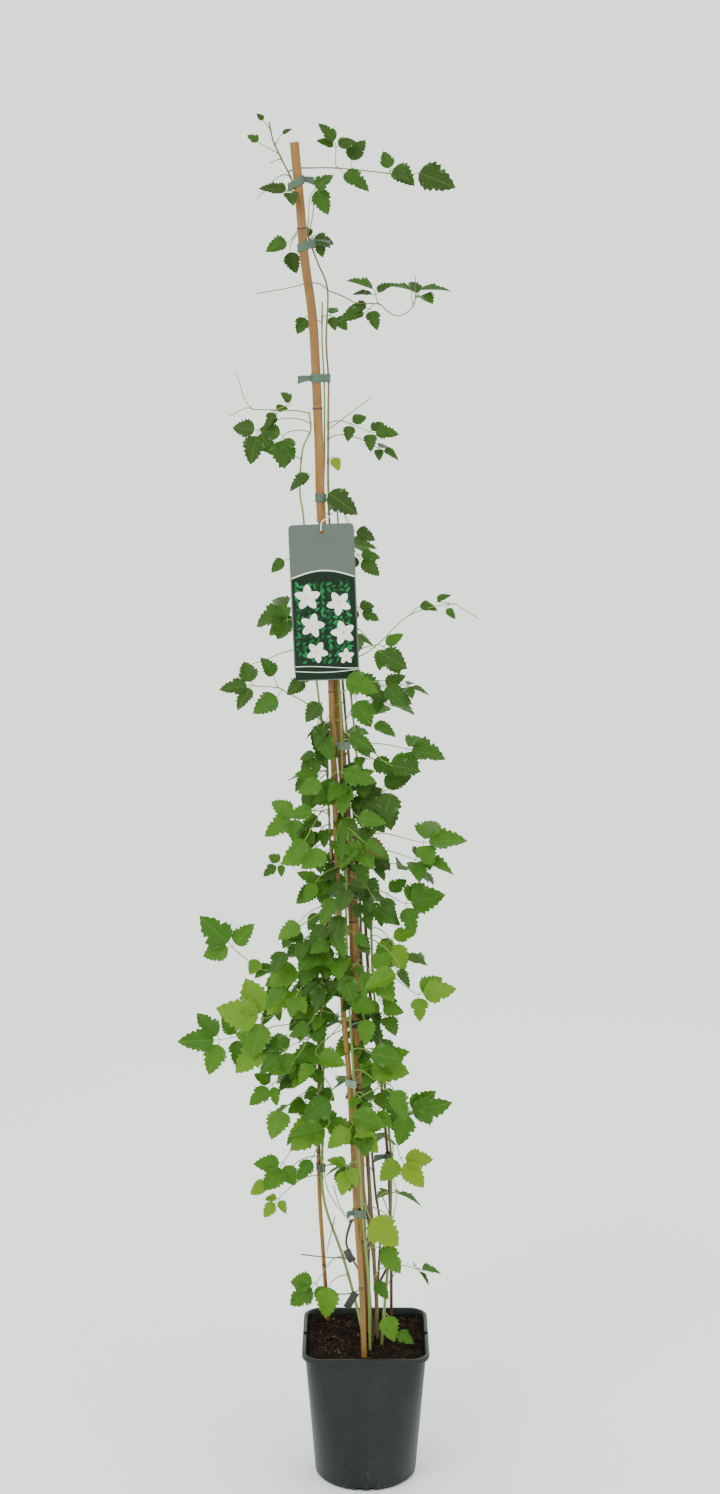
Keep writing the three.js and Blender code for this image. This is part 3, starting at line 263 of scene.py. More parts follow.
def boxes(rows):
    """Closed boxes as one surface, from rows of (middle, size, turn about Z in degrees)."""
    corner = np.array([[x, y, z] for z in (-0.5, 0.5) for y in (-0.5, 0.5) for x in (-0.5, 0.5)])
    faces = [[0, 2, 3, 1], [4, 5, 7, 6], [0, 1, 5, 4], [2, 6, 7, 3], [0, 4, 6, 2], [1, 3, 7, 5]]
    parts = []
    for middle, size, degrees in rows:
        x, y, z = (corner * size + middle).T
        c, s = np.cos(np.radians(degrees)), np.sin(np.radians(degrees))
        parts.append(surface(np.stack([c * x - s * y, s * x + c * y, z], -1), faces))
    return merged(parts)


def cut_away(piece, tool_shape):
    """Cuts a surface out of a finished piece and keeps the result as the piece's own mesh."""
    mesh = bpy.data.meshes.new("tool")
    mesh.from_pydata((tool_shape["points"] * MM).tolist(), [], tool_shape["quads"].tolist())
    tool = bpy.data.objects.new("tool", mesh)
    bpy.context.scene.collection.objects.link(tool)
    modifier = piece.modifiers.new("cut", "BOOLEAN")
    modifier.operation, modifier.solver, modifier.object = "DIFFERENCE", "EXACT", tool
    seen = piece.evaluated_get(bpy.context.evaluated_depsgraph_get())
    result = bpy.data.meshes.new_from_object(seen)
    piece.modifiers.remove(modifier)
    piece.data = result
    bpy.data.objects.remove(tool)


pot_sections = [
    (0, POT["centre"], POT["centre"]), wall(0, POT["chamfer"]),
    *[wall(height, 0) for height in (POT["chamfer"], 6, 20, 45, 70, 95, 120, 145, 170, 188, 198)],
    lip(199, 85.2), lip(199.2, 88.6), lip(199.9, 89.6), lip(201.2, 90), lip(205, 90),
    lip(206.4, 89.5), lip(207, 88.4), lip(207, 86.4), lip(206.4, 85.1), lip(205, 84.2),
    *[wall(height, POT["wall"]) for height in (196, 180, 150, 100, 50, 8)],
    wall(POT["floor"], POT["wall"] + POT["fillet"]), (POT["floor"], POT["centre"], POT["centre"]),
]
plastic = Finish("pot_plastic", Specular_IOR_Level=0.25, IOR=1.46)
mould = plastic.noise(900, 2)
flow = plastic.noise(9, 4, (1, 1, 0.25))
dust = plastic.noise(38, 6, (1, 1, 0.5), 0.65).step(0.5, 0.78)
height_up = plastic.node("ShaderNodeSeparateXYZ", {}, {0: plastic.place()}, 2)
splash = plastic.noise(160, 4).step(0.56, 0.72) * (1 - height_up.step(0.0, 0.07))
grime = dust * 0.12 + splash * 0.4
base = plastic.mix(flow, (0.0052, 0.0080, 0.0082), (0.0108, 0.0150, 0.0155))
plastic.set("Base Color", plastic.mix(grime, base, (0.075, 0.07, 0.058)))
plastic.set("Roughness", 0.34 + mould * 0.06 + grime * 0.4 + flow * 0.08)
plastic.bump(mould * 0.5 + flow, 0.0006, 0.35)
pot = make_piece("pot_shell", capped(pot_rings(pot_sections)), plastic, ["pot"])
drains = [((POT["foot"] - SLOT["sunk"], hand * SLOT["spread"], SLOT["height"] / 2 - SLOT["sunk"]),
           (SLOT["depth"], SLOT["width"], SLOT["height"]), 90 * side)
          for side in range(4) for hand in (-1, 1)]
notches = [((hand * POT["rim_half"], 0, POT["height"]),
            (NOTCH["reach"], NOTCH["width"], 2 * NOTCH["depth"]), 0) for hand in (-1, 1)]
cut_away(pot, boxes(drains + notches))


# The soil: moist peat and bark fibre, filled to just under the lip. The body is one lump, and loose
# crumbs and bits of straw lie on it.
SOIL = {"level": 199, "swell": 2.2, "relief": 0.55, "edge_drop": 1.5, "inset": 2.25,
        "shoulder": 196, "floor": 3.35}
EDGE_POINTS = {"per_corner": 24, "per_side": 22}
CRUMBS = {"count": 2800, "least": 0.5, "more": 2.1, "margin": 4, "rise": 0.4}
STRAWS = {"count": 52, "least": 4, "more": 17, "margin": 10, "rise": 0.9}
draw = np.random.default_rng(11)


def soil_height(x, y):
    """Two slow waves leave low hummocks: one broad in x and y, and one on a slant."""
    waves = np.sin(x / 13 + 1.2) * np.cos(y / 11) + 0.6 * np.sin((x + 2 * y) / 9)
    return SOIL["level"] + SOIL["swell"] * waves


def clods(x, y):
    """Fine relief: five layers of crossed waves, each about half as long and half as high as the
    one before it."""
    relief = np.zeros_like(x)
    for layer in range(5):
        angle, pitch = 1.1 + 2.4 * layer, 9.5 / 1.9 ** layer
        along = (x * np.cos(angle) + y * np.sin(angle)) / pitch
        across = (y * np.cos(angle) - x * np.sin(angle)) / pitch
        relief += np.sin(along + 2 * np.sin(across)) * np.cos(across) / 2 ** layer
    return relief


def soil_top(x, y, edge=0.0):
    return soil_height(x, y) + SOIL["relief"] * clods(x, y) - SOIL["edge_drop"] * edge


share = np.linspace(1, 0.02, 44)
_, soil_half, soil_corner = wall(SOIL["shoulder"], SOIL["inset"])
edge_ring = rounded_square(soil_half, soil_corner, **EDGE_POINTS)[0]
spread = edge_ring[None] * share[:, None, None]
top_rings = np.dstack([spread, soil_top(spread[..., 0], spread[..., 1], (share ** 12)[:, None])])
side_rings = pot_rings([wall(height, SOIL["inset"]) for height in (SOIL["floor"], 90, 170)],
                       **EDGE_POINTS)

peat = Finish("peat", Roughness=0.97, Specular_IOR_Level=0.12)
crumb = peat.noise(420, 6, roughness=0.7)
damp = peat.noise(30, 3)
fibre = peat.noise(210, 4, (1, 0.35, 1)).step(0.68, 0.78)
dark = peat.mix(damp, (0.0062, 0.0036, 0.0018), (0.017, 0.0092, 0.0045))
peat.set("Base Color", peat.mix(fibre * crumb * 0.7, dark, (0.12, 0.075, 0.036)))
peat.bump(crumb, 0.0035)
make_piece("soil_ball", capped(np.vstack([side_rings, top_rings])), peat, ["soil"], 80)


def unit(vectors):
    return vectors / np.linalg.norm(vectors, axis=-1, keepdims=True)


def scattered(count, margin):
    """Places spread over the square of soil, at even chance, that stay `margin` from its wall."""
    x, y = draw.uniform(-1, 1, (2, count)) * (soil_half - margin)
    return np.stack([x, y, soil_top(x, y)], -1)


def turned(count):
    """Rotation matrices of random unit quaternions: every direction is equally likely."""
    w, x, y, z = unit(draw.normal(size=(count, 4))).T
    rows = [[1 - 2 * (y * y + z * z), 2 * (x * y - w * z), 2 * (x * z + w * y)],
            [2 * (x * y + w * z), 1 - 2 * (x * x + z * z), 2 * (y * z - w * x)],
            [2 * (x * z - w * y), 2 * (y * z + w * x), 1 - 2 * (x * x + y * y)]]
    return np.array(rows).transpose(2, 0, 1)


def repeated(points, faces, middles, turns, sizes, look):
    """Copies of one small shape, each with its own size along three axes, turn and place."""
    placed = np.einsum("nij,nkj->nki", turns, points[None] * sizes[:, None]) + middles[:, None]
    shifts = np.arange(len(middles))[:, None, None] * len(points)
    kind = "quads" if faces.shape[1] == 4 else "tris"
    return surface(placed.reshape(-1, 3), look=np.repeat(look, len(points), 0),
                   **{kind: (faces[None] + shifts).reshape(-1, faces.shape[1])})


# A crumb: the twelve corners of an icosahedron, drawn in and out a little
golden = (1 + 5 ** 0.5) / 2
lump = np.array([[-1, golden, 0], [1, golden, 0], [-1, -golden, 0], [1, -golden, 0],
                 [0, -1, golden], [0, 1, golden], [0, -1, -golden], [0, 1, -golden],
                 [golden, 0, -1], [golden, 0, 1], [-golden, 0, -1], [-golden, 0, 1]]) / 1.9
lump *= 1 + 0.16 * np.sin(7 * np.arange(12))[:, None]
lump_faces = np.array([[0, 11, 5], [0, 5, 1], [0, 1, 7], [0, 7, 10], [0, 10, 11], [1, 5, 9],
                       [5, 11, 4], [11, 10, 2], [10, 7, 6], [7, 1, 8], [3, 9, 4], [3, 4, 2],
                       [3, 2, 6], [3, 6, 8], [3, 8, 9], [4, 9, 5], [2, 4, 11], [6, 2, 10],
                       [8, 6, 7], [9, 8, 1]])
count = CRUMBS["count"]
sizes = CRUMBS["least"] + CRUMBS["more"] * draw.random((count, 1)) ** 3
sizes = sizes * draw.uniform(0.6, 1.3, (count, 3))
tone = np.column_stack([draw.random(count), np.zeros(count), draw.random(count)])
places = scattered(count, CRUMBS["margin"]) + [0, 0, CRUMBS["rise"]]
crumbs = repeated(lump, lump_faces, places, turned(count), sizes, tone)
loose = Finish("loose_peat", Roughness=0.95, Specular_IOR_Level=0.15)
shade, = loose.numbers(1)
peat_shades = [(0.0, (0.005, 0.003, 0.0015)), (0.8, (0.020, 0.011, 0.0052)),
               (0.98, (0.042, 0.023, 0.011)), (1.0, (0.12, 0.08, 0.04))]
loose.set("Base Color", loose.ramp(shade, *peat_shades))
loose.bump(loose.noise(700, 4), 0.001)
make_piece("soil_crumbs", crumbs, loose, sharp=180)

# A bit of straw: a square stick that bends a little. Each is turned about Z and tipped slightly
stick_rings = np.array([[[0.5 * np.cos(a), s, 0.5 * np.sin(a) + 0.35 * s * s] for a in
                         np.radians([45, 135, 225, 315])] for s in (-0.5, -0.2, 0.15, 0.5)])
stick = capped(stick_rings[:, ::-1])
count = STRAWS["count"]
level_turn = draw.uniform(0, 2 * np.pi, count)
pitch = draw.normal(0, 0.12, count)
flat = np.zeros((count, 3, 3))
flat[:, 0, 0], flat[:, 0, 1] = np.cos(level_turn), -np.sin(level_turn) * np.cos(pitch)
flat[:, 1, 0], flat[:, 1, 1] = np.sin(level_turn), np.cos(level_turn) * np.cos(pitch)
flat[:, 2, 1], flat[:, 2, 2] = np.sin(pitch), 1
widths = draw.uniform(0.3, 0.9, count)
lengths = STRAWS["least"] + STRAWS["more"] * draw.random(count) ** 2
sizes = np.column_stack([widths, lengths, widths * draw.uniform(0.3, 0.9, count)])
tone = np.column_stack([0.35 + 0.65 * draw.random(count), np.zeros(count), draw.random(count)])
places = scattered(count, STRAWS["margin"]) + [0, 0, STRAWS["rise"]]
stick_quads = repeated(stick["points"], stick["quads"], places, flat, sizes, tone)
stick_tris = repeated(stick["points"], stick["tris"], places, flat, sizes, tone)
straws = {**stick_quads, "tris": stick_tris["tris"]}
straws["under"] = np.zeros(len(straws["quads"]) + len(straws["tris"]))
straw = Finish("straw", Roughness=0.7, Specular_IOR_Level=0.35)
shade, = straw.numbers(1)
grain = straw.noise(1500, 2)
straw_shades = [(0.3, (0.035, 0.020, 0.011)), (0.7, (0.16, 0.10, 0.05)), (1.0, (0.40, 0.31, 0.17))]
straw.set("Base Color", straw.ramp(shade * 0.8 + grain * 0.2, *straw_shades))
straw.bump(grain, 0.0004)
make_piece("soil_straw", straws, straw, sharp=60)


# The canes: bamboo, cut to length and pushed into the soil. Each has swollen joints with a dark ring,
# and the thick one is open at its cut top. They lean together and carry the stems.
# Values: radius, first joint's height, spacing of joints, finish, mouth's share of the radius, route
CANES = {
    "cane_main": (6.2, 345, 235, "tan", 0.55, [
        (2, 20, 55), (1, 18, 200), (-4, 10, 330), (-8, 4, 460), (-12, 0, 600), (-16, 0, 748),
        (-19, 0, 860), (-27, 0, 966), (-38, 0, 1110), (-46, 0, 1210), (-60, 0, 1374), (-63, 0, 1473),
        (-68, 0, 1594), (-72, 0, 1649), (-82, 0, 1722), (-86, 0, 1776), (-94, 0, 1865)]),
    "cane_front": (4, 300, 210, "pale", 0.3, [
        (1, -71, 100), (-2, -66, 200), (-6, -55, 300), (-13, -38, 400), (-18, -24, 500),
        (-23.5, -16, 600), (-31, -14, 690), (-38, -13, 860), (-45, -14, 1065), (-48, -15, 1165)]),
    "cane_left": (3, 290, 180, "tan", 0.3, [
        (-52, 58, 100), (-55, 60, 200), (-61, 52, 300), (-66, 36, 400), (-67, 24, 500),
        (-64, 14, 640), (-58, 6, 760), (-51, 0, 858), (-47, -2, 930)]),
    "cane_back": (3, 310, 190, "pale", 0.3, [
        (18, 70, 100), (17, 70, 200), (14, 62, 265), (6, 44, 403), (2, 34, 470), (-4, 22, 600),
        (-10, 14, 750), (-14, 10, 860), (-17, 9, 960)]),
    "cane_right": (2.3, 280, 170, "dark", 0.3, [
        (38, 70, 100), (38, 72, 200), (37, 66, 326), (33, 54, 435), (29, 44, 491), (23, 32, 562),
        (14, 20, 645), (5, 10, 720), (-3, 4, 860), (-5, 3, 905)]),
}
JOINT = {"swell": 0.13, "half": 2.4, "groove": -0.05, "groove_up": 4, "groove_half": 1.4,
         "from_top": 20, "clear": 12}
CANE = {"step": 14.0, "sides": 24, "bevel": 0.93, "hollow": 11}


def smooth_route(route, steps=8, closed=False):
    """Catmull-Rom: each span is the cubic whose end slopes are half the chord between its end's
    neighbours, taken at `steps` even places."""
    points = np.asarray(route, float)
    if closed:
        padded = np.vstack([points[-1], points, points[:2]])
    else:
        padded = np.vstack([2 * points[0] - points[1], points, 2 * points[-1] - points[-2]])
    a, b, c, d = (padded[i:len(padded) - 3 + i, None] for i in range(4))
    t = (np.arange(steps) / steps)[None, :, None]
    curve = b + t * ((c - a) + t * ((2 * a - 5 * b + 4 * c - d) + t * (3 * (b - c) + d - a))) / 2
    curve = curve.reshape(-1, 3)
    return curve if closed else np.vstack([curve, points[-1]])


def at_heights(curve, heights):
    """Points of a rising curve at the given heights, by straight lines between its points."""
    return np.stack([np.interp(heights, curve[:, 2], curve[:, axis]) for axis in range(3)], -1)


def tube_rings(centres, radii, sides, closed=False):
    """Round rings square to a path, on the directions that one fixed axis gives along all of it."""
    if closed:
        tangent = unit(np.roll(centres, -1, 0) - np.roll(centres, 1, 0))
    else:
        tangent = unit(np.gradient(centres, axis=0))
    axis = np.eye(3)[np.argmin(np.abs(tangent).mean(0))]
    side = unit(axis - (tangent @ axis)[:, None] * tangent)
    other = np.cross(tangent, side)
    turn = 2 * np.pi * np.arange(sides) / sides
    radii = np.broadcast_to(radii, len(centres))[:, None, None]
    ring = np.cos(turn)[None, :, None] * side[:, None] + np.sin(turn)[None, :, None] * other[:, None]
    return centres[:, None] + radii * ring


def cane_shape(radius, first, spacing, mouth, route, number):
    """Rings up the cane, close together at each joint. The radius is even, with a round swelling at
    a joint and a shallow groove just above it. `look` is nearness to a joint, a number for each
    length between joints, and 1 just above a joint."""
    joints = np.arange(first, route[-1][2] - JOINT["from_top"], spacing)
    near = np.array([-9, -6, -4, -2.5, -1.2, 0, 1.2, 2.5, 4, 5.5, 8])
    even = np.arange(route[0][2], route[-1][2], CANE["step"])
    even = even[np.abs(even[:, None] - joints).min(1) > JOINT["clear"]]
    heights = np.sort(np.concatenate([even, (joints[:, None] + near).ravel(), [route[-1][2]]]))
    away = heights - joints[np.abs(heights[:, None] - joints).argmin(1)]
    swell = JOINT["swell"] * np.exp(-(away / JOINT["half"]) ** 2)
    groove = JOINT["groove"] * np.exp(-((away - JOINT["groove_up"]) / JOINT["groove_half"]) ** 2)
    centres = at_heights(smooth_route(route), heights)
    rings = tube_rings(centres, radius * (1 + swell + groove), CANE["sides"])
    rim, end = rings[-1], centres[-1]
    down = unit(centres[-2] - end)
    bevel = (rim - end) * CANE["bevel"] + end - 0.25 * down
    depths = np.array([0.0, 4, CANE["hollow"]])[:, None, None]
    narrowing = np.array([1, 0.96, 0.9])[:, None, None]
    inside = (rim - end)[None] * mouth * narrowing + end + down * depths
    closeness = np.exp(-(away / 3.0) ** 2)
    between = (np.searchsorted(joints, heights) * 0.37 + number * 0.21) % 1
    look = np.column_stack([closeness, between, (away > 0) * 1.0])
    look = np.vstack([look, [0, between[-1], 0], [[0, 1.0, 1.0]] * 3])
    return capped(np.vstack([rings, bevel[None], inside]), look)


def bamboo(name, shadow, body, sun, ring):
    """Bamboo's glossy rind: long fibre streaks, a painted highlight above each joint and a dark ring on
    it.
    """
    made = Finish(name, Specular_IOR_Level=0.45)
    joint, length, above = made.numbers(3)
    streak = made.noise(900, 4, (1, 1, 0.02))
    patch = made.noise(26, 5, (1, 1, 0.35), 0.6)
    shade = patch * 0.6 + streak * 0.25 + length * 0.25
    colour = made.ramp(shade, (0.3, shadow), (0.52, body), (0.78, sun))
    # Painted highlight: the upper flank of each joint's swelling is mixed towards the sunlit colour.
    colour = made.mix(joint.step(0.1, 0.6) * 0.35 * above, colour, sun)
    colour = made.mix(joint.step(0.72, 0.97), colour, ring)
    speck = made.noise(320, 5, (1, 1, 0.3), 0.7).step(0.63, 0.72)
    made.set("Base Color", made.mix(speck * 0.7, colour, ring))
    made.set("Roughness", 0.36 + streak * 0.16 + speck * 0.2)
    made.bump(streak + joint * 0.4, 0.0003, 0.6)
    return made


rinds = {
    "tan": bamboo("bamboo_tan", (0.105, 0.042, 0.006), (0.20, 0.086, 0.012), (0.29, 0.142, 0.026),
                  (0.035, 0.014, 0.007)),
    "pale": bamboo("bamboo_pale", (0.098, 0.045, 0.006), (0.175, 0.086, 0.010), (0.25, 0.138, 0.022),
                   (0.04, 0.017, 0.007)),
    "dark": bamboo("bamboo_dark", (0.030, 0.014, 0.007), (0.070, 0.031, 0.013), (0.135, 0.066, 0.027),
                   (0.018, 0.009, 0.006)),
}
for number, (name, (radius, first, spacing, rind, mouth, route)) in enumerate(CANES.items()):
    shape = cane_shape(radius, first, spacing, mouth, route, number)
    make_piece(name.replace("cane", "bamboo"), shape, rinds[rind], [name], 35)


# The climbing stems: six stems of one young vine, brown and woody at the foot and green above. Each
# carries side shoots and leaves of three or more toothed leaflets, and is held to the canes by the
# twist of its leaf stalks and by the ties.
# Values: node, finish, radius at the foot and at the tip, route
STEMS = {
    "leader": ("vine_leader", "leaf_deep", 2.6, 1.1, [
        (10, -14, 150), (9, -12, 215), (4, -8, 300), (5, 2, 427), (-2.5, 4, 600), (-6, -3, 750),
        (-8.5, -3, 860), (-16.5, 0, 966), (-25, 2, 1065), (-35.5, 3, 1200), (-49.5, 2, 1374),
        (-50.5, 3, 1504), (-50, 4, 1557), (-53, 4, 1610), (-51, 2, 1675), (-64, 9, 1711),
        (-76, 11, 1743), (-86, 11, 1785), (-99, 6, 1820), (-112, 2, 1846), (-122, 0, 1868),
        (-127, -2, 1891)]),
    "second": ("vine_second", "leaf_deep", 2, 1.1, [
        (18, -8, 150), (17, -6, 215), (13, 2, 300), (-3, 18, 427), (-13, 12, 600),
        (-19, 10.5, 750), (-26, 9.5, 860), (-36, 8, 966), (-43, 8, 1065), (-50, 10, 1200),
        (-57, 11, 1374), (-56, 8, 1450), (-55.5, 4, 1504), (-56, 4.5, 1557), (-58.5, 5, 1610),
        (-58, 8, 1660)]),
    "left": ("vine_left", "leaf_fresh", 2.2, 1.2, [
        (0, -24, 150), (-4, -20, 215), (-30, 10, 310), (-60, 27, 400), (-61, 15, 500),
        (-59, 4, 640), (-53, -3, 760), (-46.5, -7.5, 858), (-49, -8, 930), (-52, -6, 1000),
        (-54, -5, 1065), (-62, -4, 1110), (-72, 0, 1200), (-80, 4, 1290), (-84, 4, 1372),
        (-89, 2, 1411), (-85, 0, 1465), (-74, -7, 1491), (-76, -9, 1516)]),
    "right": ("vine_right", "leaf_fresh", 2.2, 1.2, [
        (22, -18, 150), (24, -16, 215), (34, 26, 326), (37, 46, 435), (34, 37, 491), (28, 25, 562),
        (20, 12, 645), (11, 2, 720), (5, -4, 860), (-5, -4, 966), (-14, 0, 1065), (-26, 8, 1200),
        (-38, 10, 1374), (-40, 8, 1400)]),
    "front": ("vine_front", "leaf_fresh", 2, 1.2, [
        (8, -32, 150), (6, -33, 215), (4, -46, 300), (-4, -44, 400), (-11, -34, 500),
        (-17, -26, 600), (-23, -21, 700), (-26, -14, 780), (-28, -11.5, 860), (-31, -13, 966),
        (-33, -12.5, 1065), (-36, -12, 1140), (-44, -12, 1250), (-48, -12, 1300)]),
    "back": ("vine_back", "leaf_deep", 2, 1.2, [
        (14, 3, 150), (14, 6, 215), (19, 32, 290), (21, 44, 350), (14, 52, 403), (8.5, 43, 470),
        (-2, 32, 600), (-11, 24, 750), (-16, 20, 860), (-22, 17, 966), (-32, 15, 1065),
        (-42, 17, 1200), (-50, 18, 1300), (-51, 18, 1330)]),
}
# Values: the stem it leaves, radius, route
SHOOTS = {
    "bare_left": ("leader", 0.9, [(-51, 2, 1676), (-62, -9, 1683), (-77, -12, 1684),
        (-100, -14, 1678), (-146, -16, 1670)]),
    "top_right": ("leader", 1, [(-103, 5, 1828), (-91, 13, 1833), (-75, 8, 1833), (-38, -2, 1832),
        (29, -8, 1825), (59, -10, 1820)]),
    "upper_right": ("leader", 1, [(-51, 2, 1675), (-28, -4, 1666), (-12, -8, 1658),
        (17, -10, 1657), (25, -10, 1650), (41, -12, 1641), (58, -10, 1649), (65, -8, 1663),
        (65, -8, 1692)]),
    "star_left": ("left", 1, [(-76, -9, 1514), (-91, -10, 1517), (-120, -8, 1518),
        (-151, -4, 1519)]),
    "right_tendril": ("right", 0.9, [(-24.5, 7, 1184), (-5, 4, 1187), (21, 0, 1207), (60, 0, 1243),
        (114, -2, 1258), (130, -2, 1252), (154, 0, 1237)]),
    "left_low": ("left", 1, [(-59, -4.5, 1096), (-82, -8, 1123), (-107, -6, 1136),
        (-118, -4, 1143), (-152, -4, 1146)]),
    "left_mid": ("left", 1, [(-53.5, -2.5, 749), (-91, -14, 745), (-141, -12, 748),
        (-161, -12, 760), (-179, -12, 775)]),
}
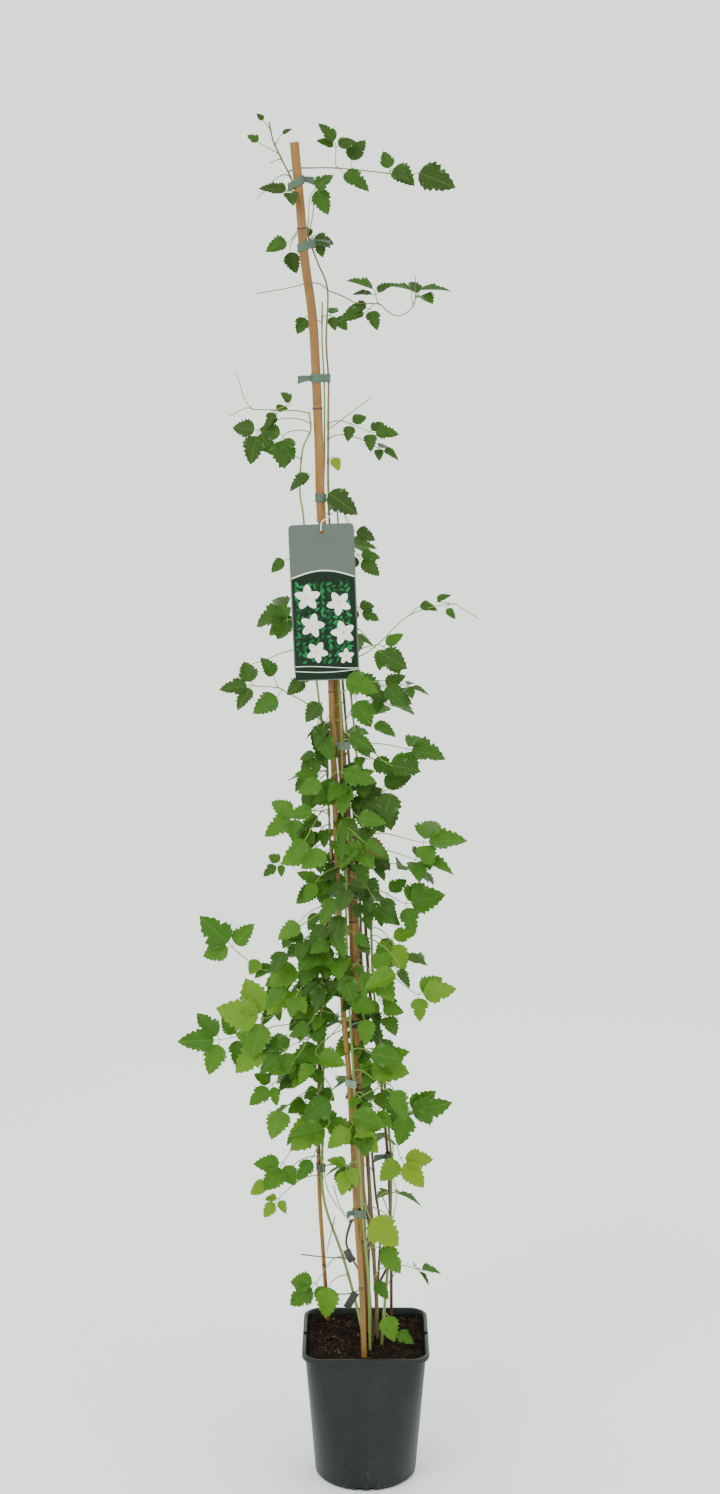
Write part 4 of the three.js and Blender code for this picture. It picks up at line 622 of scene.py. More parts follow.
# Leaves: a stem or shoot, the height on the stem (or the point number on the shoot) and the end of the
# stalk. Then, where it has blades, the tip of the end leaflet, the pairs of side leaflets and how
# many degrees the blades tip towards the viewer. Last, in a few, the leaf's own tone (0 is deep
# green, 1 fresh, 1.4 yellow) and how dry it is
LEAVES = [
    ("leader", 1842, (-126, -8, 1838)),
    ("leader", 1822, (-143, -14, 1793)),
    ("top_right", 3, (-42, -8, 1866), (-60, -12, 1890), 1, 60),
    ("top_right", 3, (-29, -14, 1824), (5, -20, 1804), 0, 70),
    ("top_right", 3.3, (-19, 10, 1843), (-3, 14, 1872), 0, 60),
    ("top_right", 4, (36, -12, 1831), (64, -18, 1811), 1, 55),
    ("top_right", 5, (69, -12, 1825), (117, -18, 1807), 0, 60),
    ("leader", 1754, (-66, -18, 1806), (-44, -24, 1822), 0, 70),
    ("leader", 1750, (-63, -4, 1804), (-50, -8, 1772), 0, 65),
    ("leader", 1800, (-108, -12, 1802), (-140, -18, 1807), 1, 60),
    ("leader", 1757, (-105, 14, 1737), (-134, 12, 1728), 0, 60),
    ("leader", 1752, (-101, 20, 1725), (-93, 22, 1697), 0, 60),
    ("leader", 1740, (-66, 18, 1746), (-57, 20, 1718), 1, 60),
    ("upper_right", 3, (9, -10, 1676), (-25, -16, 1689), 1, 15),
    ("upper_right", 3, (-3, -16, 1645), (-37, -22, 1636), 1, 50),
    ("upper_right", 6.6, (58, -8, 1675), (28, -12, 1684), 0, 15),
    ("upper_right", 7, (73, -10, 1675), (112, -14, 1678), 1, 20),
    ("second", 1632, (-81, 12, 1639), (-92, 10, 1618), 0, 50),
    ("second", 1640, (-40, 14, 1639), (-24, 20, 1623), 1, 45),
    ("star_left", 3, (-173, -2, 1567)),
    ("star_left", 3, (-183, 2, 1510)),
    ("star_left", 2.2, (-119, -12, 1509), (-138, -18, 1495), 1, 60),
    ("left", 1500, (-147, -8, 1484), (-155, -12, 1446), 1, 75),
    ("left", 1488, (-113, -16, 1478), (-109, -20, 1441), 1, 70),
    ("leader", 1500, (13, -12, 1488), (44, -18, 1487), 2, 45),
    ("leader", 1480, (24, 0, 1464), (46, 2, 1454), 1, 40),
    ("leader", 1492, (8, 8, 1535)),
    ("left", 1452, (-100, -8, 1455), (-118, -12, 1444), 0, 60),
    ("left", 1432, (-76, -14, 1432), (-103, -20, 1413), 0, 60),
    ("leader", 1417, (-50, -10, 1408), (-11, -18, 1381), 0, 70),
    ("leader", 1398, (-13, 6, 1355), (14, 8, 1345), 0, 45),
    ("right", 1345, (-5, 0, 1317), (19, -4, 1297), 1, 60),
    ("right", 1268, (-5, 2, 1246), (19, 4, 1235), 1, 55),
    ("left", 1300, (-111, 10, 1316), (-130, 12, 1300), 0, 60),
    ("left", 1225, (-113, 8, 1232), (-133, 10, 1213), 1, 60),
    ("right_tendril", 3, (73, 0, 1254), (98, -2, 1252), 0, 30),
    ("right", 1185, (29, -12, 1196), (46, -18, 1164), 1, 65),
    ("right", 1162, (30, -8, 1141), (63, -12, 1122), 1, 60),
    ("right", 1142, (64, 6, 1142), (88, 8, 1133), 1, 30),
    ("right", 1132, (-13, -20, 1156), (24, -32, 1135), 0, 65),
    ("left_low", 3, (-126, -4, 1160), (-141, -6, 1186), 0, 50),
    ("left_low", 2.6, (-121, -8, 1131), (-154, -14, 1110), 0, 60),
    ("left_low", 4, (-162, -4, 1146), (-200, -8, 1142), 1, 45),
    ("left", 1190, (-155, 6, 1175)),
    ("left", 1168, (-83, -12, 1152), (-108, -18, 1137), 0, 65),
    ("left", 1112, (-62, -24, 1125), (-82, -32, 1101), 0, 70),
    ("left", 1048, (-49, -24, 1051), (-74, -34, 1086), 0, 60),
    ("right", 1085, (-16, -14, 1076), (6, -24, 1051), 0, 60),
    ("right", 1058, (63, -2, 1057), (110, -6, 1049), 1, 25),
    ("right", 1040, (34, -12, 1041), (73, -18, 1033), 0, 60),
    ("left", 1022, (-65, -24, 1016), (-82, -34, 978), 1, 65),
    ("front", 1006, (-27, -36, 1015), (-34, -48, 975), 1, 50),
    ("right", 1000, (25, -12, 999), (36, -18, 947), 1, 60),
    ("left", 968, (-104, -9, 962), (-141, -12, 939), 2, 60),
    ("left", 925, (-74, -24, 923), (-116, -34, 906), 1, 60),
    ("left", 900, (-124, 2, 893), (-143, 4, 878), 1, 50),
    ("front", 930, (-13, -36, 934), (11, -48, 900), 1, 55),
    ("right", 935, (87, -4, 928), (139, -8, 936), 1, 25),
    ("right", 912, (76, -16, 904), (122, -24, 895), 1, 35),
    ("right", 905, (3, -26, 926), (33, -38, 912), 0, 60),
    ("left", 880, (-70, -18, 869), (-96, -26, 846), 1, 65),
    ("left_mid", 4, (-191, -12, 788), (-229, -18, 824), 1, 65),
    ("left_mid", 2.6, (-150, -12, 763), (-161, -16, 742), 0, 60),
    ("left", 835, (-95, -12, 813), (-117, -18, 781), 0, 65),
    ("left", 765, (-94, -28, 750), (-140, -38, 737), 0, 60, 0.88),
    ("left", 740, (-105, -24, 722), (-138, -34, 690), 1, 70, 0.95),
    ("right", 858, (63, -8, 842), (108, -12, 858), 2, 40),
    ("right", 845, (13, -28, 841), (40, -38, 821), 0, 60),
    ("right", 805, (38, -12, 784), (55, -18, 747), 1, 60),
    ("front", 752, (10, -42, 753), (39, -56, 716), 1, 55),
    ("right", 742, (81, -10, 712), (126, -14, 723), 1, 45),
    ("front", 700, (-2, -38, 685), (2, -46, 649), 0, 50),
    ("left", 655, (-212, -12, 647), (-263, -16, 647), 2, 55),
    ("left", 705, (-150, -26, 683), (-206, -34, 699), 1, 70),
    ("left", 640, (-144, -26, 643), (-182, -34, 606), 1, 72, 0.97),
    ("left", 590, (-137, -10, 577), (-164, -14, 552), 1, 60),
    ("right", 648, (21, -8, 615), (59, -12, 634), 0, 25, 0.95),
    ("right", 622, (9, -28, 618), (60, -40, 608), 0, 60, 0.95),
    ("right", 572, (65, -12, 544), (121, -18, 556), 1, 70),
    ("front", 575, (17, -34, 550), (37, -42, 529), 0, 60),
    ("left", 585, (-50, -32, 565), (-89, -44, 540), 0, 60),
    ("left", 545, (-61, -28, 532), (-106, -40, 495), 1, 60),
    ("front", 538, (-23, -46, 528), (-54, -58, 507), 0, 50),
    ("front", 556, (-16, -42, 545), (21, -56, 533), 0, 50),
    ("front", 528, (-11, -50, 528), (17, -62, 500), 0, 50),
    ("left", 503, (-121, -9, 459), (-142, -12, 423), 1, 70),
    ("left", 485, (-77, -22, 475), (-96, -30, 447), 0, 65),
    ("left", 462, (-139, 8, 428), (-166, 10, 413), 0, 60),
    ("front", 478, (-28, -52, 470), (-33, -62, 437), 1, 50),
    ("right", 515, (54, -4, 463), (84, -10, 429), 1, 70, 1.22),
    ("left", 432, (-129, 2, 402), (-146, 2, 380), 1, 50),
    ("front", 420, (8, -56, 400), (47, -60, 362), 0, 60, 1.14),
    ("front", 352, (23, -40, 349), (51, -50, 319), 0, 60),
    ("right", 300, (13, -18, 290), (33, -26, 270), 0, 55),
    ("left", 316, (-77, 3, 274), (-110, 0, 248), 1, 60),
    ("left", 292, (-52, -16, 283), (-58, -22, 236), 0, 55),
    ("right", 262, (27, -30, 244), (42, -44, 214), 0, 60),
    ("right", 240, (46, -32, 222), (68, -42, 210), 0, 50),
]
# The thick growth in front of the canes
MIDDLE_LEAVES = [
    ("right", 1225, (21, -22, 1194), (56, -27, 1173), 0, 70),
    ("front", 1149, (-27, -61, 1161), (17, -66, 1150), 0, 65),
    ("front", 1136, (28, -31, 1149), (51, -45, 1127), 0, 60),
    ("right", 1135, (-12, -30, 1129), (7, -33, 1093), 0, 65),
    ("right", 1110, (-22, -47, 1084), (9, -49, 1069), 0, 70),
    ("left", 1102, (-64, -35, 1085), (-43, -41, 1049), 0, 55),
    ("right", 1062, (37, -25, 1039), (75, -30, 1034), 0, 70),
    ("left", 1013, (-30, -48, 1034), (14, -54, 1022), 0, 75),
    ("left", 1012, (-61, -60, 1023), (-92, -64, 1009), 0, 70),
    ("front", 1031, (-10, -24, 1024), (2, -34, 992), 0, 55),
    ("front", 1007, (-40, -31, 999), (-74, -43, 993), 0, 40),
    ("right", 977, (34, -40, 1004), (22, -52, 961), 0, 65),
    ("right", 984, (-73, -48, 982), (-107, -55, 975), 0, 65),
    ("front", 1002, (-10, -50, 973), (26, -62, 968), 0, 60),
    ("front", 948, (-1, -60, 940), (30, -63, 923), 0, 60, 0.53, 0.4),
    ("left", 973, (-83, -55, 942), (-102, -68, 917), 0, 55),
    ("leader", 945, (-23, -41, 936), (-2, -45, 907), 0, 55),
    ("right", 916, (-56, -51, 925), (-88, -58, 903), 0, 70),
    ("right", 892, (-70, -30, 876), (-85, -33, 848), 0, 60),
    ("second", 872, (-42, -45, 858), (-63, -58, 825), 0, 65),
    ("second", 833, (-90, -43, 820), (-122, -51, 805), 0, 40),
    ("leader", 851, (-46, -50, 812), (-26, -56, 778), 0, 40),
    ("left", 810, (-58, -26, 802), (-76, -28, 771), 0, 45),
    ("second", 803, (-68, -29, 762), (-31, -32, 751), 0, 45),
    ("leader", 791, (41, -58, 755), (-3, -65, 741), 0, 50),
    ("left", 775, (-72, -16, 752), (-92, -24, 710), 0, 70),
    ("leader", 752, (-30, -50, 751), (-15, -54, 707), 0, 60),
    ("left", 761, (-111, -42, 731), (-140, -53, 706), 0, 60),
    ("right", 727, (-20, -46, 716), (14, -49, 701), 0, 40),
    ("front", 677, (-77, -20, 686), (-59, -30, 644), 0, 75),
    ("leader", 658, (7, -49, 639), (53, -53, 632), 0, 65),
    ("back", 671, (-67, -17, 638), (-107, -26, 617), 0, 50),
    ("second", 656, (-64, -57, 637), (-28, -65, 630), 0, 55),
    ("left", 669, (-99, -37, 627), (-128, -45, 607), 0, 50),
    ("front", 594, (9, -18, 608), (56, -28, 604), 0, 70, 1.1),
    ("front", 565, (34, -60, 587), (61, -63, 548), 0, 40),
    ("left", 559, (-82, -20, 556), (-49, -29, 528), 0, 45),
    ("front", 526, (-17, -58, 552), (27, -70, 542), 0, 55),
    ("left", 582, (-62, -20, 540), (-28, -29, 523), 0, 45),
    ("left", 543, (-59, -61, 535), (-105, -74, 531), 0, 40),
    ("front", 450, (-35, -40, 471), (-21, -49, 438), 0, 60),
    ("leader", 396, (33, -28, 385), (1, -38, 379), 0, 55, 1.3),
    ("front", 379, (26, -23, 349), (39, -34, 317), 0, 55),
]
# Young leaves near the tips
SMALL_LEAVES = [
    ("leader", 1882, (-135, 0, 1893), (-143, 0, 1902), 0, 50),
    ("leader", 1850, (-142, 4, 1866), (-156, 6, 1876), 0, 50),
    ("leader", 1862, (-109, -8, 1875), (-97, -10, 1882), 0, 50),
    ("star_left", 2, (-101, -12, 1529), (-113, -16, 1542), 0, 50),
    ("leader", 1450, (-43, -8, 1455), (-36, -12, 1438), 0, 50, 1.45),
    ("right_tendril", 4, (97, 4, 1261), (115, 4, 1271), 0, 40),
    ("right_tendril", 4.3, (109, -4, 1251), (122, -6, 1238), 0, 40),
]
# Young leaves among the stems, grown by a rule over two stretches: how many, lowest height and step,
# stems in turn, the fan's middle and half angle in degrees, how much the stalks' reach varies, and
# the blades' middle length
GROWTH = [
    {"count": 84, "low": 520, "step": 7.1, "stems": ["left", "front", "right", "leader", "second"],
     "middle": -90, "spread": 105, "reach": 36, "size": 30},
    {"count": 30, "low": 545, "step": 9.5, "stems": ["left"],
     "middle": -150, "spread": 50, "reach": 62, "size": 31},
]
# Bare twigs low down, what is left of old growth: radius, woodiness and route
TWIGS = [
    (2.2, 1.0, [(-20, -24, 387), (-26, -26, 367), (-27, -28, 352), (-20, -30, 335), (-10, -38, 318)]),
    (1.0, 0.9, [(-92, -10, 330), (-63, -16, 329), (-30, -24, 330), (-19, -30, 331)]),
    (0.9, 0.95, [(-44, 6, 380), (-49, 8, 355), (-56, 14, 323)]),
    (2.4, 1.0, [(39, 40, 315), (31, 36, 291), (18, 30, 266), (16, 26, 255)]),
    (0.9, 0.95, [(52, 40, 302), (42, 36, 282), (26, 30, 258)]),
    (1.1, 0.95, [(-47, -8, 270), (-26, -18, 274), (-10, -34, 286)]),
    (1.1, 0.95, [(-45, -8, 269), (-54, -2, 255), (-59, 2, 239)]),
    (0.9, 0.12, [(-46, 2, 429), (-36, -4, 399), (-20, -20, 384)]),
    (0.9, 0.12, [(-63, 14, 474), (-54, 6, 421), (-30, -12, 389), (-17, -22, 383)]),
    (0.9, 0.12, [(39, 30, 481), (40, 30, 429), (45, 26, 409), (40, 30, 372), (36, 36, 330)]),
    (0.9, 0.8, [(23, 16, 409), (30, 24, 388), (36, 32, 365)]),
]
# Leaves away from the viewer, set by a rule: how many, lowest height and step, the fan's half angle,
# the angle past which a stem at the side bears the leaf, and the heights where the left and the
# second stem take over
FAR_SIDE = {"count": 24, "low": 297, "step": 45.5, "fan": 66, "aside": 40, "left_from": 940,
            "top_from": 1300}
# Points of a curve for each span of its route
SPAN_STEPS = 8
CURVES = {name: smooth_route(route, SPAN_STEPS) for name, (*_, route) in {**STEMS, **SHOOTS}.items()}


def chance(a, b, c):
    """The same three numbers always give the same value from 0 to 1: the fraction of a large sine."""
    return (np.sin(a * 12.9898 + b * 78.233 + c * 37.719) * 43758.5453) % 1


def on_stem(on, where):
    """The point on a stem at a height, or on a shoot at a point number, and the radius there."""
    curve = CURVES[on]
    if on in STEMS:
        _, _, thick, thin, _ = STEMS[on]
        place = np.interp(where, curve[:, 2], np.arange(len(curve)))
        return at_heights(curve, [where])[0], thick + (thin - thick) * place / (len(curve) - 1)
    place = where * SPAN_STEPS
    point = np.array([np.interp(place, np.arange(len(curve)), axis) for axis in curve.T])
    return point, SHOOTS[on][1]


def bezier(a, b, c, d, places):
    """The cubic on four points at the given places from 0 to 1, and its direction there."""
    t = np.atleast_1d(places)[:, None]
    points = (1 - t) ** 3 * a + 3 * (1 - t) ** 2 * t * b + 3 * (1 - t) * t ** 2 * c + t ** 3 * d
    way = (1 - t) ** 2 * (b - a) + 2 * (1 - t) * t * (c - b) + t ** 2 * (d - c)
    return points, unit(way)


def thin_stalk(points, radii, wood):
    """A five-sided closed stalk. `look` is its woodiness, 0, and a draw by its place."""
    points = np.asarray(points)
    look = np.tile([wood, 0, chance(*points[0])], (len(points), 1))
    return capped(tube_rings(points, radii, STALK["sides"]), look)


# A stalk: how steeply it leaves, its cubic's handles as shares of its chord, and its radii
STALK = {"rise": 0.7, "leave": 0.36, "arrive": 0.3, "thick": 0.95, "share": 0.75, "end": 0.55,
         "points": 8, "sides": 5}
# Side leaflets: the last pair's distance from the end, the step to the next, the angle they stand
# out at, and their stalk's share of their length
PAIR = {"first": 9, "step": 26, "angle": 66, "stalk": 0.16}
# A blade: half its width as a share of its length, how far its teeth stand out and forward, its
# wave and twist, and the gap between its two sheets
BLADE = {"half": 0.345, "tooth": 0.12, "forward": 0.035, "wave": 0.022, "twist": 0.25, "sheet": 0.3}
# A blade's outline: places along it, the half width there of a plain and of a lobed one, and teeth
# that stand out and forward at every other place
PLACES = np.array([0, 0.05, 0.11, 0.17, 0.23, 0.3, 0.37, 0.44, 0.51, 0.58, 0.65, 0.72, 0.79, 0.86,
                   0.92, 0.97, 1])
ACROSS = np.array([-1, -0.5, 0, 0.5, 1])
PLAIN = np.interp(PLACES, [0, 0.05, 0.16, 0.3, 0.42, 0.56, 0.7, 0.84, 0.95, 1],
                  [0.06, 0.58, 0.97, 1.1, 1.05, 0.9, 0.7, 0.44, 0.16, 0.01])
LOBED = np.interp(PLACES, [0, 0.05, 0.16, 0.28, 0.4, 0.51, 0.6, 0.7, 0.84, 0.95, 1],
                  [0.06, 0.5, 0.86, 1.04, 1.12, 0.66, 0.78, 0.66, 0.4, 0.14, 0.01])
TOOTH = np.where(np.arange(len(PLACES)) % 2, 1.0, -0.75) * np.clip(PLACES * 8 - 0.4, 0, 1)
grid = np.arange(PLACES.size * ACROSS.size).reshape(PLACES.size, ACROSS.size)
inner = grid[1:-1, 1:-1]
beneath = grid.copy()
beneath[1:-1, 1:-1] = grid.size + np.arange(inner.size).reshape(inner.shape)


def patches(numbers):
    """Quads over a grid of point numbers."""
    near, far = numbers[:-1], numbers[1:]
    return np.stack([near[:, :-1], near[:, 1:], far[:, 1:], far[:, :-1]], -1).reshape(-1, 4)


BLADE_FACES = np.vstack([patches(grid), patches(beneath)[:, ::-1]])
BLADE_UNDER = np.repeat([0, 1], len(BLADE_FACES) // 2)


def blade(base, ahead, face, length, seed, tone, dry):
    """A leaflet: rows along its length and columns across. Its half width is a row's share of the
    leaflet's own width, so the margin has lobes and teeth; it folds up by the distance from the rib,
    curls down by the square of the distance from its base, and its margin waves. A second sheet
    just under it shares its edge."""
    right = np.cross(ahead, face)
    half = length * BLADE["half"] * (0.82 + 0.32 * chance(seed, 1, 0))
    fold = 0.2 + 0.28 * chance(seed, 2, 0)
    curl = 0.06 + 0.16 * chance(seed, 3, 0)
    lobed = (1 - chance(seed, 4, 0)) ** 1.5
    width = (PLAIN + (LOBED - PLAIN) * lobed) * (1 + BLADE["tooth"] * TOOTH)
    t, w = PLACES[:, None], ACROSS[None] * width[:, None]
    cycle = 2 * np.pi * (2.3 * t + chance(seed, 5, 0) + 0.2 * np.sign(w))
    wave = BLADE["wave"] * length * np.sin(cycle) * w ** 2
    twist = BLADE["twist"] * (chance(seed, 6, 0) - 0.5) * t * w * half
    lift = np.abs(w) * half * fold - curl * length * t ** 2 * (1 + 0.7 * dry) + wave + twist
    reach = (t + BLADE["forward"] * TOOTH[:, None] * (1 - t) * ACROSS ** 2) * length
    points = base + reach[..., None] * ahead + (w * half)[..., None] * right + lift[..., None] * face
    lower = points[1:-1, 1:-1] - BLADE["sheet"] * face
    flat = np.stack([0.5 + w * half / length, t + 0 * w], -1)
    uv = np.vstack([flat.reshape(-1, 2), flat[1:-1, 1:-1].reshape(-1, 2)])
    made = surface(np.vstack([points.reshape(-1, 3), lower.reshape(-1, 3)]), BLADE_FACES,
                   look=[tone, dry, chance(seed, 7, 0)], under=BLADE_UNDER)
    return {**made, "uv": uv}


def leaf(row, seed):
    """A leaf's stalks and blades. The stalk is a cubic that rises as it leaves the stem and comes in
    along the end leaflet; side leaflets stand in pairs on short stalks across it."""
    on, where, end, tip, pairs, tilt, *looks = row
    start, stem_radius = on_stem(on, where)
    end = np.array(end, float)
    chord = np.linalg.norm(end - start)
    level = unit((end - start) * [1, 1, 0])
    leave = unit(level + [0, 0, STALK["rise"]])
    aim = unit(end - start) if tip is None else unit(np.subtract(tip, end))
    corners = (start, start + leave * STALK["leave"] * chord, end - aim * STALK["arrive"] * chord, end)
    stations, _ = bezier(*corners, np.linspace(0, 1, STALK["points"]))
    thick = min(STALK["thick"], STALK["share"] * stem_radius)
    stalks = [thin_stalk(stations, np.linspace(thick, STALK["end"], STALK["points"]), 0.25)]
    if tip is None:
        return stalks, []
    tone, dry = (*looks, 0.0)[:2]
    length = np.linalg.norm(np.subtract(tip, end))
    facing = level if end[1] > 25 else np.array([0, -1.0, 0])
    upright = np.array([0, 0, np.cos(np.radians(tilt))]) + facing * np.sin(np.radians(tilt))
    roll = np.radians(36 * (chance(seed, 5, 0) - 0.5))
    normal = upright * np.cos(roll) + np.cross(aim, upright) * np.sin(roll)
    normal = normal + aim * (aim @ upright) * (1 - np.cos(roll))
    face = unit(normal - aim * (normal @ aim))
    blades = [blade(end, aim, face, length, seed, tone, dry)]
    for pair in range(pairs):
        place = 1 - min((PAIR["first"] + PAIR["step"] * pair) / chord, 0.7)
        (node,), (forward,) = bezier(*corners, place)
        across = unit(np.cross(forward, normal))
        for hand in (1, -1):
            drawn = [chance(seed, 10 + k + 20 * pair, hand + 2) for k in range(4)]
            angle = np.radians(PAIR["angle"] + 16 * (drawn[0] - 0.5))
            out = forward * np.cos(angle) + across * hand * np.sin(angle)
            way = unit(out - [0, 0, 0.25 * drawn[1]])
            size = length * (0.8 - 0.12 * pair) * (0.88 + 0.24 * drawn[3])
            turn = normal + across * 0.5 * (drawn[2] - 0.5)
            foot = node + way * PAIR["stalk"] * size
            bend = (node + foot) / 2 + [0, 0, 0.4]
            stalks.append(thin_stalk([node, bend, foot], [0.6, 0.5, 0.45], 0.2))
            number = seed + 1000 * (pair + 1) + 500 * hand
            upward = unit(turn - way * (turn @ way))
            blades.append(blade(foot, way, upward, size, number, tone, dry))
    return stalks, blades


def toned(rows, first, fall, freshest, spread):
    """The rows with a tone for each leaf that has none of its own. It rises evenly as the leaf sits
    lower, by one over `fall` millimetres, to the freshest, and a draw moves it either way."""
    made = []
    for seed, (on, where, end, *rest) in enumerate(rows, first):
        tip, pairs, tilt, *looks = rest or (None, 0, 0)
        if tip and not looks:
            even = np.clip((1500 - (end[2] + tip[2]) / 2) / fall, 0.12, freshest)
            looks = [np.clip(even + spread * (chance(seed, 7, 0) - 0.5), 0.05, 1)]
        made.append((on, where, end, tip, pairs, tilt, *looks))
    return made


def fanned(i):
    """From -1 to 1: the golden angle spreads leaf after leaf evenly over a fan."""
    return (i * 0.618034 % 1) * 2 - 1


def level_way(degrees):
    return np.array([np.cos(np.radians(degrees)), np.sin(np.radians(degrees)), 0])


def far_leaf(i):
    """A leaf behind the canes: heights rise evenly over a fan, and the stem on its side bears it."""
    height = FAR_SIDE["low"] + FAR_SIDE["step"] * i
    aside = FAR_SIDE["fan"] * fanned(i)
    on = "back"
    if aside < -FAR_SIDE["aside"]:
        on = "right"
    if aside > FAR_SIDE["aside"] and height > FAR_SIDE["left_from"]:
        on = "left"
    if height > FAR_SIDE["top_from"]:
        on = "left" if aside > FAR_SIDE["aside"] else "second"
    out = level_way(90 + aside)
    drop = np.array([0, 0, 14 * chance(i, 9, 1)])
    end = on_stem(on, height)[0] + out * (34 + 40 * chance(i, 7, 1)) - drop
    tip = end + out * (32 + 16 * chance(i, 8, 1)) - [0, 0, 16 * (0.4 + chance(i, 6, 1))]
    return on, height, end, tip, 1, 35, 0.15 + 0.5 * chance(i, 5, 1)


def inner_leaf(growth, i):
    """A leaf of the thick middle: heights rise evenly over a fan, and stems take turns. Its stalk
    comes out level, and the blade hangs a little or much by chance."""
    own = i + growth["low"]
    height = growth["low"] + growth["step"] * i
    on = growth["stems"][i % len(growth["stems"])]
    out = level_way(growth["middle"] + growth["spread"] * fanned(i))
    reach = 14 + growth["reach"] * chance(own, 3, 8)
    size = growth["size"] * (0.75 + 0.6 * chance(own, 4, 8))
    end = on_stem(on, height)[0] + out * reach + [0, 0, 10 - 26 * chance(own, 5, 8)]
    side = 1.6 * (chance(own, 6, 8) - 0.5)
    way = unit(out + np.array([side * -out[1], side * out[0], -0.35 - 0.9 * chance(own, 8, 8)]))
    tone = np.clip((1350 - height) / 1300 + 0.55 * (chance(own, 9, 8) - 0.5), 0.05, 0.9)
    tilt = 10 + 65 * chance(own, 1, 8)
    return on, height + 12 * chance(own, 2, 8), end, end + way * size, int(i % 3 == 0), tilt, tone


def stem_shape(curve, thick, thin, sides, beads, woody):
    """A stem's tube, with a slight swelling where each leaf leaves it. `look` is woodiness, which
    falls from the foot up, nearness to a swelling, and a draw."""
    along = np.concatenate([[0], np.cumsum(np.linalg.norm(np.diff(curve, axis=0), axis=1))])
    steps = np.linspace(0, along[-1], max(int(along[-1] / 5), 8))
    centres = np.stack([np.interp(steps, along, axis) for axis in curve.T], -1)
    share = steps / along[-1]
    near = np.zeros(len(steps))
    if len(beads):
        near = np.exp(-(np.linalg.norm(centres[:, None] - np.array(beads), axis=2).min(1) / 2.5) ** 2)
    radii = (thick + (thin - thick) * share) * (1 + 0.35 * near)
    wood = np.interp(centres[:, 2], [0, 2000], woody)
    look = np.column_stack([wood, near, np.full(len(steps), chance(*centres[0]))])
    return capped(tube_rings(centres, radii, sides), look)


def twig_shape(radius, wood, route):
    """A bare twig that thins to two thirds at its end."""
    curve = smooth_route(route)
    radii = radius * np.linspace(1, 0.65, len(curve))
    return capped(tube_rings(curve, radii, 6), np.tile([wood, 0, 0.5], (len(curve), 1)))


def stem_finish():
    """Living bark: brown and ribbed low down, green with a purple-brown bloom on young growth."""
    made = Finish("stem_bark", Specular_IOR_Level=0.4)
    wood, bead = made.numbers(2)
    rib = made.noise(1400, 3, (1, 1, 0.03))
    patch = made.noise(45, 4, (1, 1, 0.4))
    shades = [(0.1, (0.16, 0.29, 0.045)), (0.36, (0.15, 0.21, 0.05)),
              (0.6, (0.12, 0.085, 0.035)), (0.95, (0.05, 0.028, 0.017))]
    colour = made.ramp(wood + (patch - 0.5) * 0.4, *shades)
    colour = made.mix(bead * 0.4, colour, (0.10, 0.07, 0.04))
    made.set("Base Color", made.mix(rib.step(0.55, 0.75) * 0.2, colour, (0.26, 0.28, 0.12)))
    made.set("Roughness", 0.5 + rib * 0.2)
    made.bump(rib, 0.0004)
    return made


def leaf_finish(name, glow):
    """A leaf lets light through. Its colour runs from deep green to yellow by its own tone; veins are
    paler, the underside is matt and grey-green, and a dry edge is brown."""
    made = Finish(name, Specular_IOR_Level=0.2)
    tone, dry, own = made.numbers(3)
    under = made.look("Alpha")
    flat = made.node("ShaderNodeUVMap", {"uv_map": "UVMap"}, {})
    aside = (made.node("ShaderNodeSeparateXYZ", {}, {0: flat}, 0) - 0.5).math("ABSOLUTE")
    along = made.node("ShaderNodeSeparateXYZ", {}, {0: flat}, 1)
    rib = 1 - aside.step(0.004, 0.014)
    fan = ((along - aside * 1.25) * 6.5).math("PINGPONG", 0.5)
    veins = (1 - fan.step(0.015, 0.06)) * (1 - aside.step(0.26, 0.34)) * 0.6
    network = (made.noise(900, 3) - 0.5).math("ABSOLUTE")
    vein = rib.math("MAXIMUM", veins)
    mottle = made.noise(120, 5, roughness=0.6)
    shade = tone + (mottle - 0.5) * 0.3 + (own - 0.5) * 0.3 + along * 0.05
    greens = [(0.0, (0.030, 0.066, 0.008)), (0.3, (0.034, 0.094, 0.008)),
              (0.55, (0.044, 0.132, 0.008)), (0.8, (0.073, 0.190, 0.010)),
              (1.0, (0.14, 0.275, 0.016))]
    colour = made.mix(shade.step(1.05, 1.45), made.ramp(shade, *greens), (0.21, 0.31, 0.004))
    colour = made.mix(vein * 0.3, colour, (0.30, 0.42, 0.12))
    colour = made.mix(under * 0.4, colour, (0.17, 0.27, 0.09))
    edge = aside.step(0.12, 0.28).math("MAXIMUM", along.step(0.62, 1.0))
    brown = (dry * 1.6 * (edge * 0.7 + mottle)).step(0.45, 0.85)
    spot = made.noise(260, 4).step(0.70, 0.76) * 0.6
    colour = made.mix(brown.math("MAXIMUM", spot * dry.step(0.02, 0.3)), colour, (0.085, 0.045, 0.016))
    made.set("Base Color", colour)
    made.set("Roughness", 0.40 + under * 0.22 + mottle * 0.12 + brown * 0.25)
    made.bump(0.5 - vein * 0.6 + mottle * 0.35 + network * 0.6, 0.0009, 0.7)
    through = made.node("ShaderNodeBsdfTranslucent", {}, {"Color": glow})
    share = 0.22 + (1 - brown) * 0.08
    blend = made.node("ShaderNodeMixShader", {}, {0: share, 1: made.solid(), 2: through})
    made.tree.links.new(blend.socket, made.tree.nodes["Material Output"].inputs["Surface"])
    return made


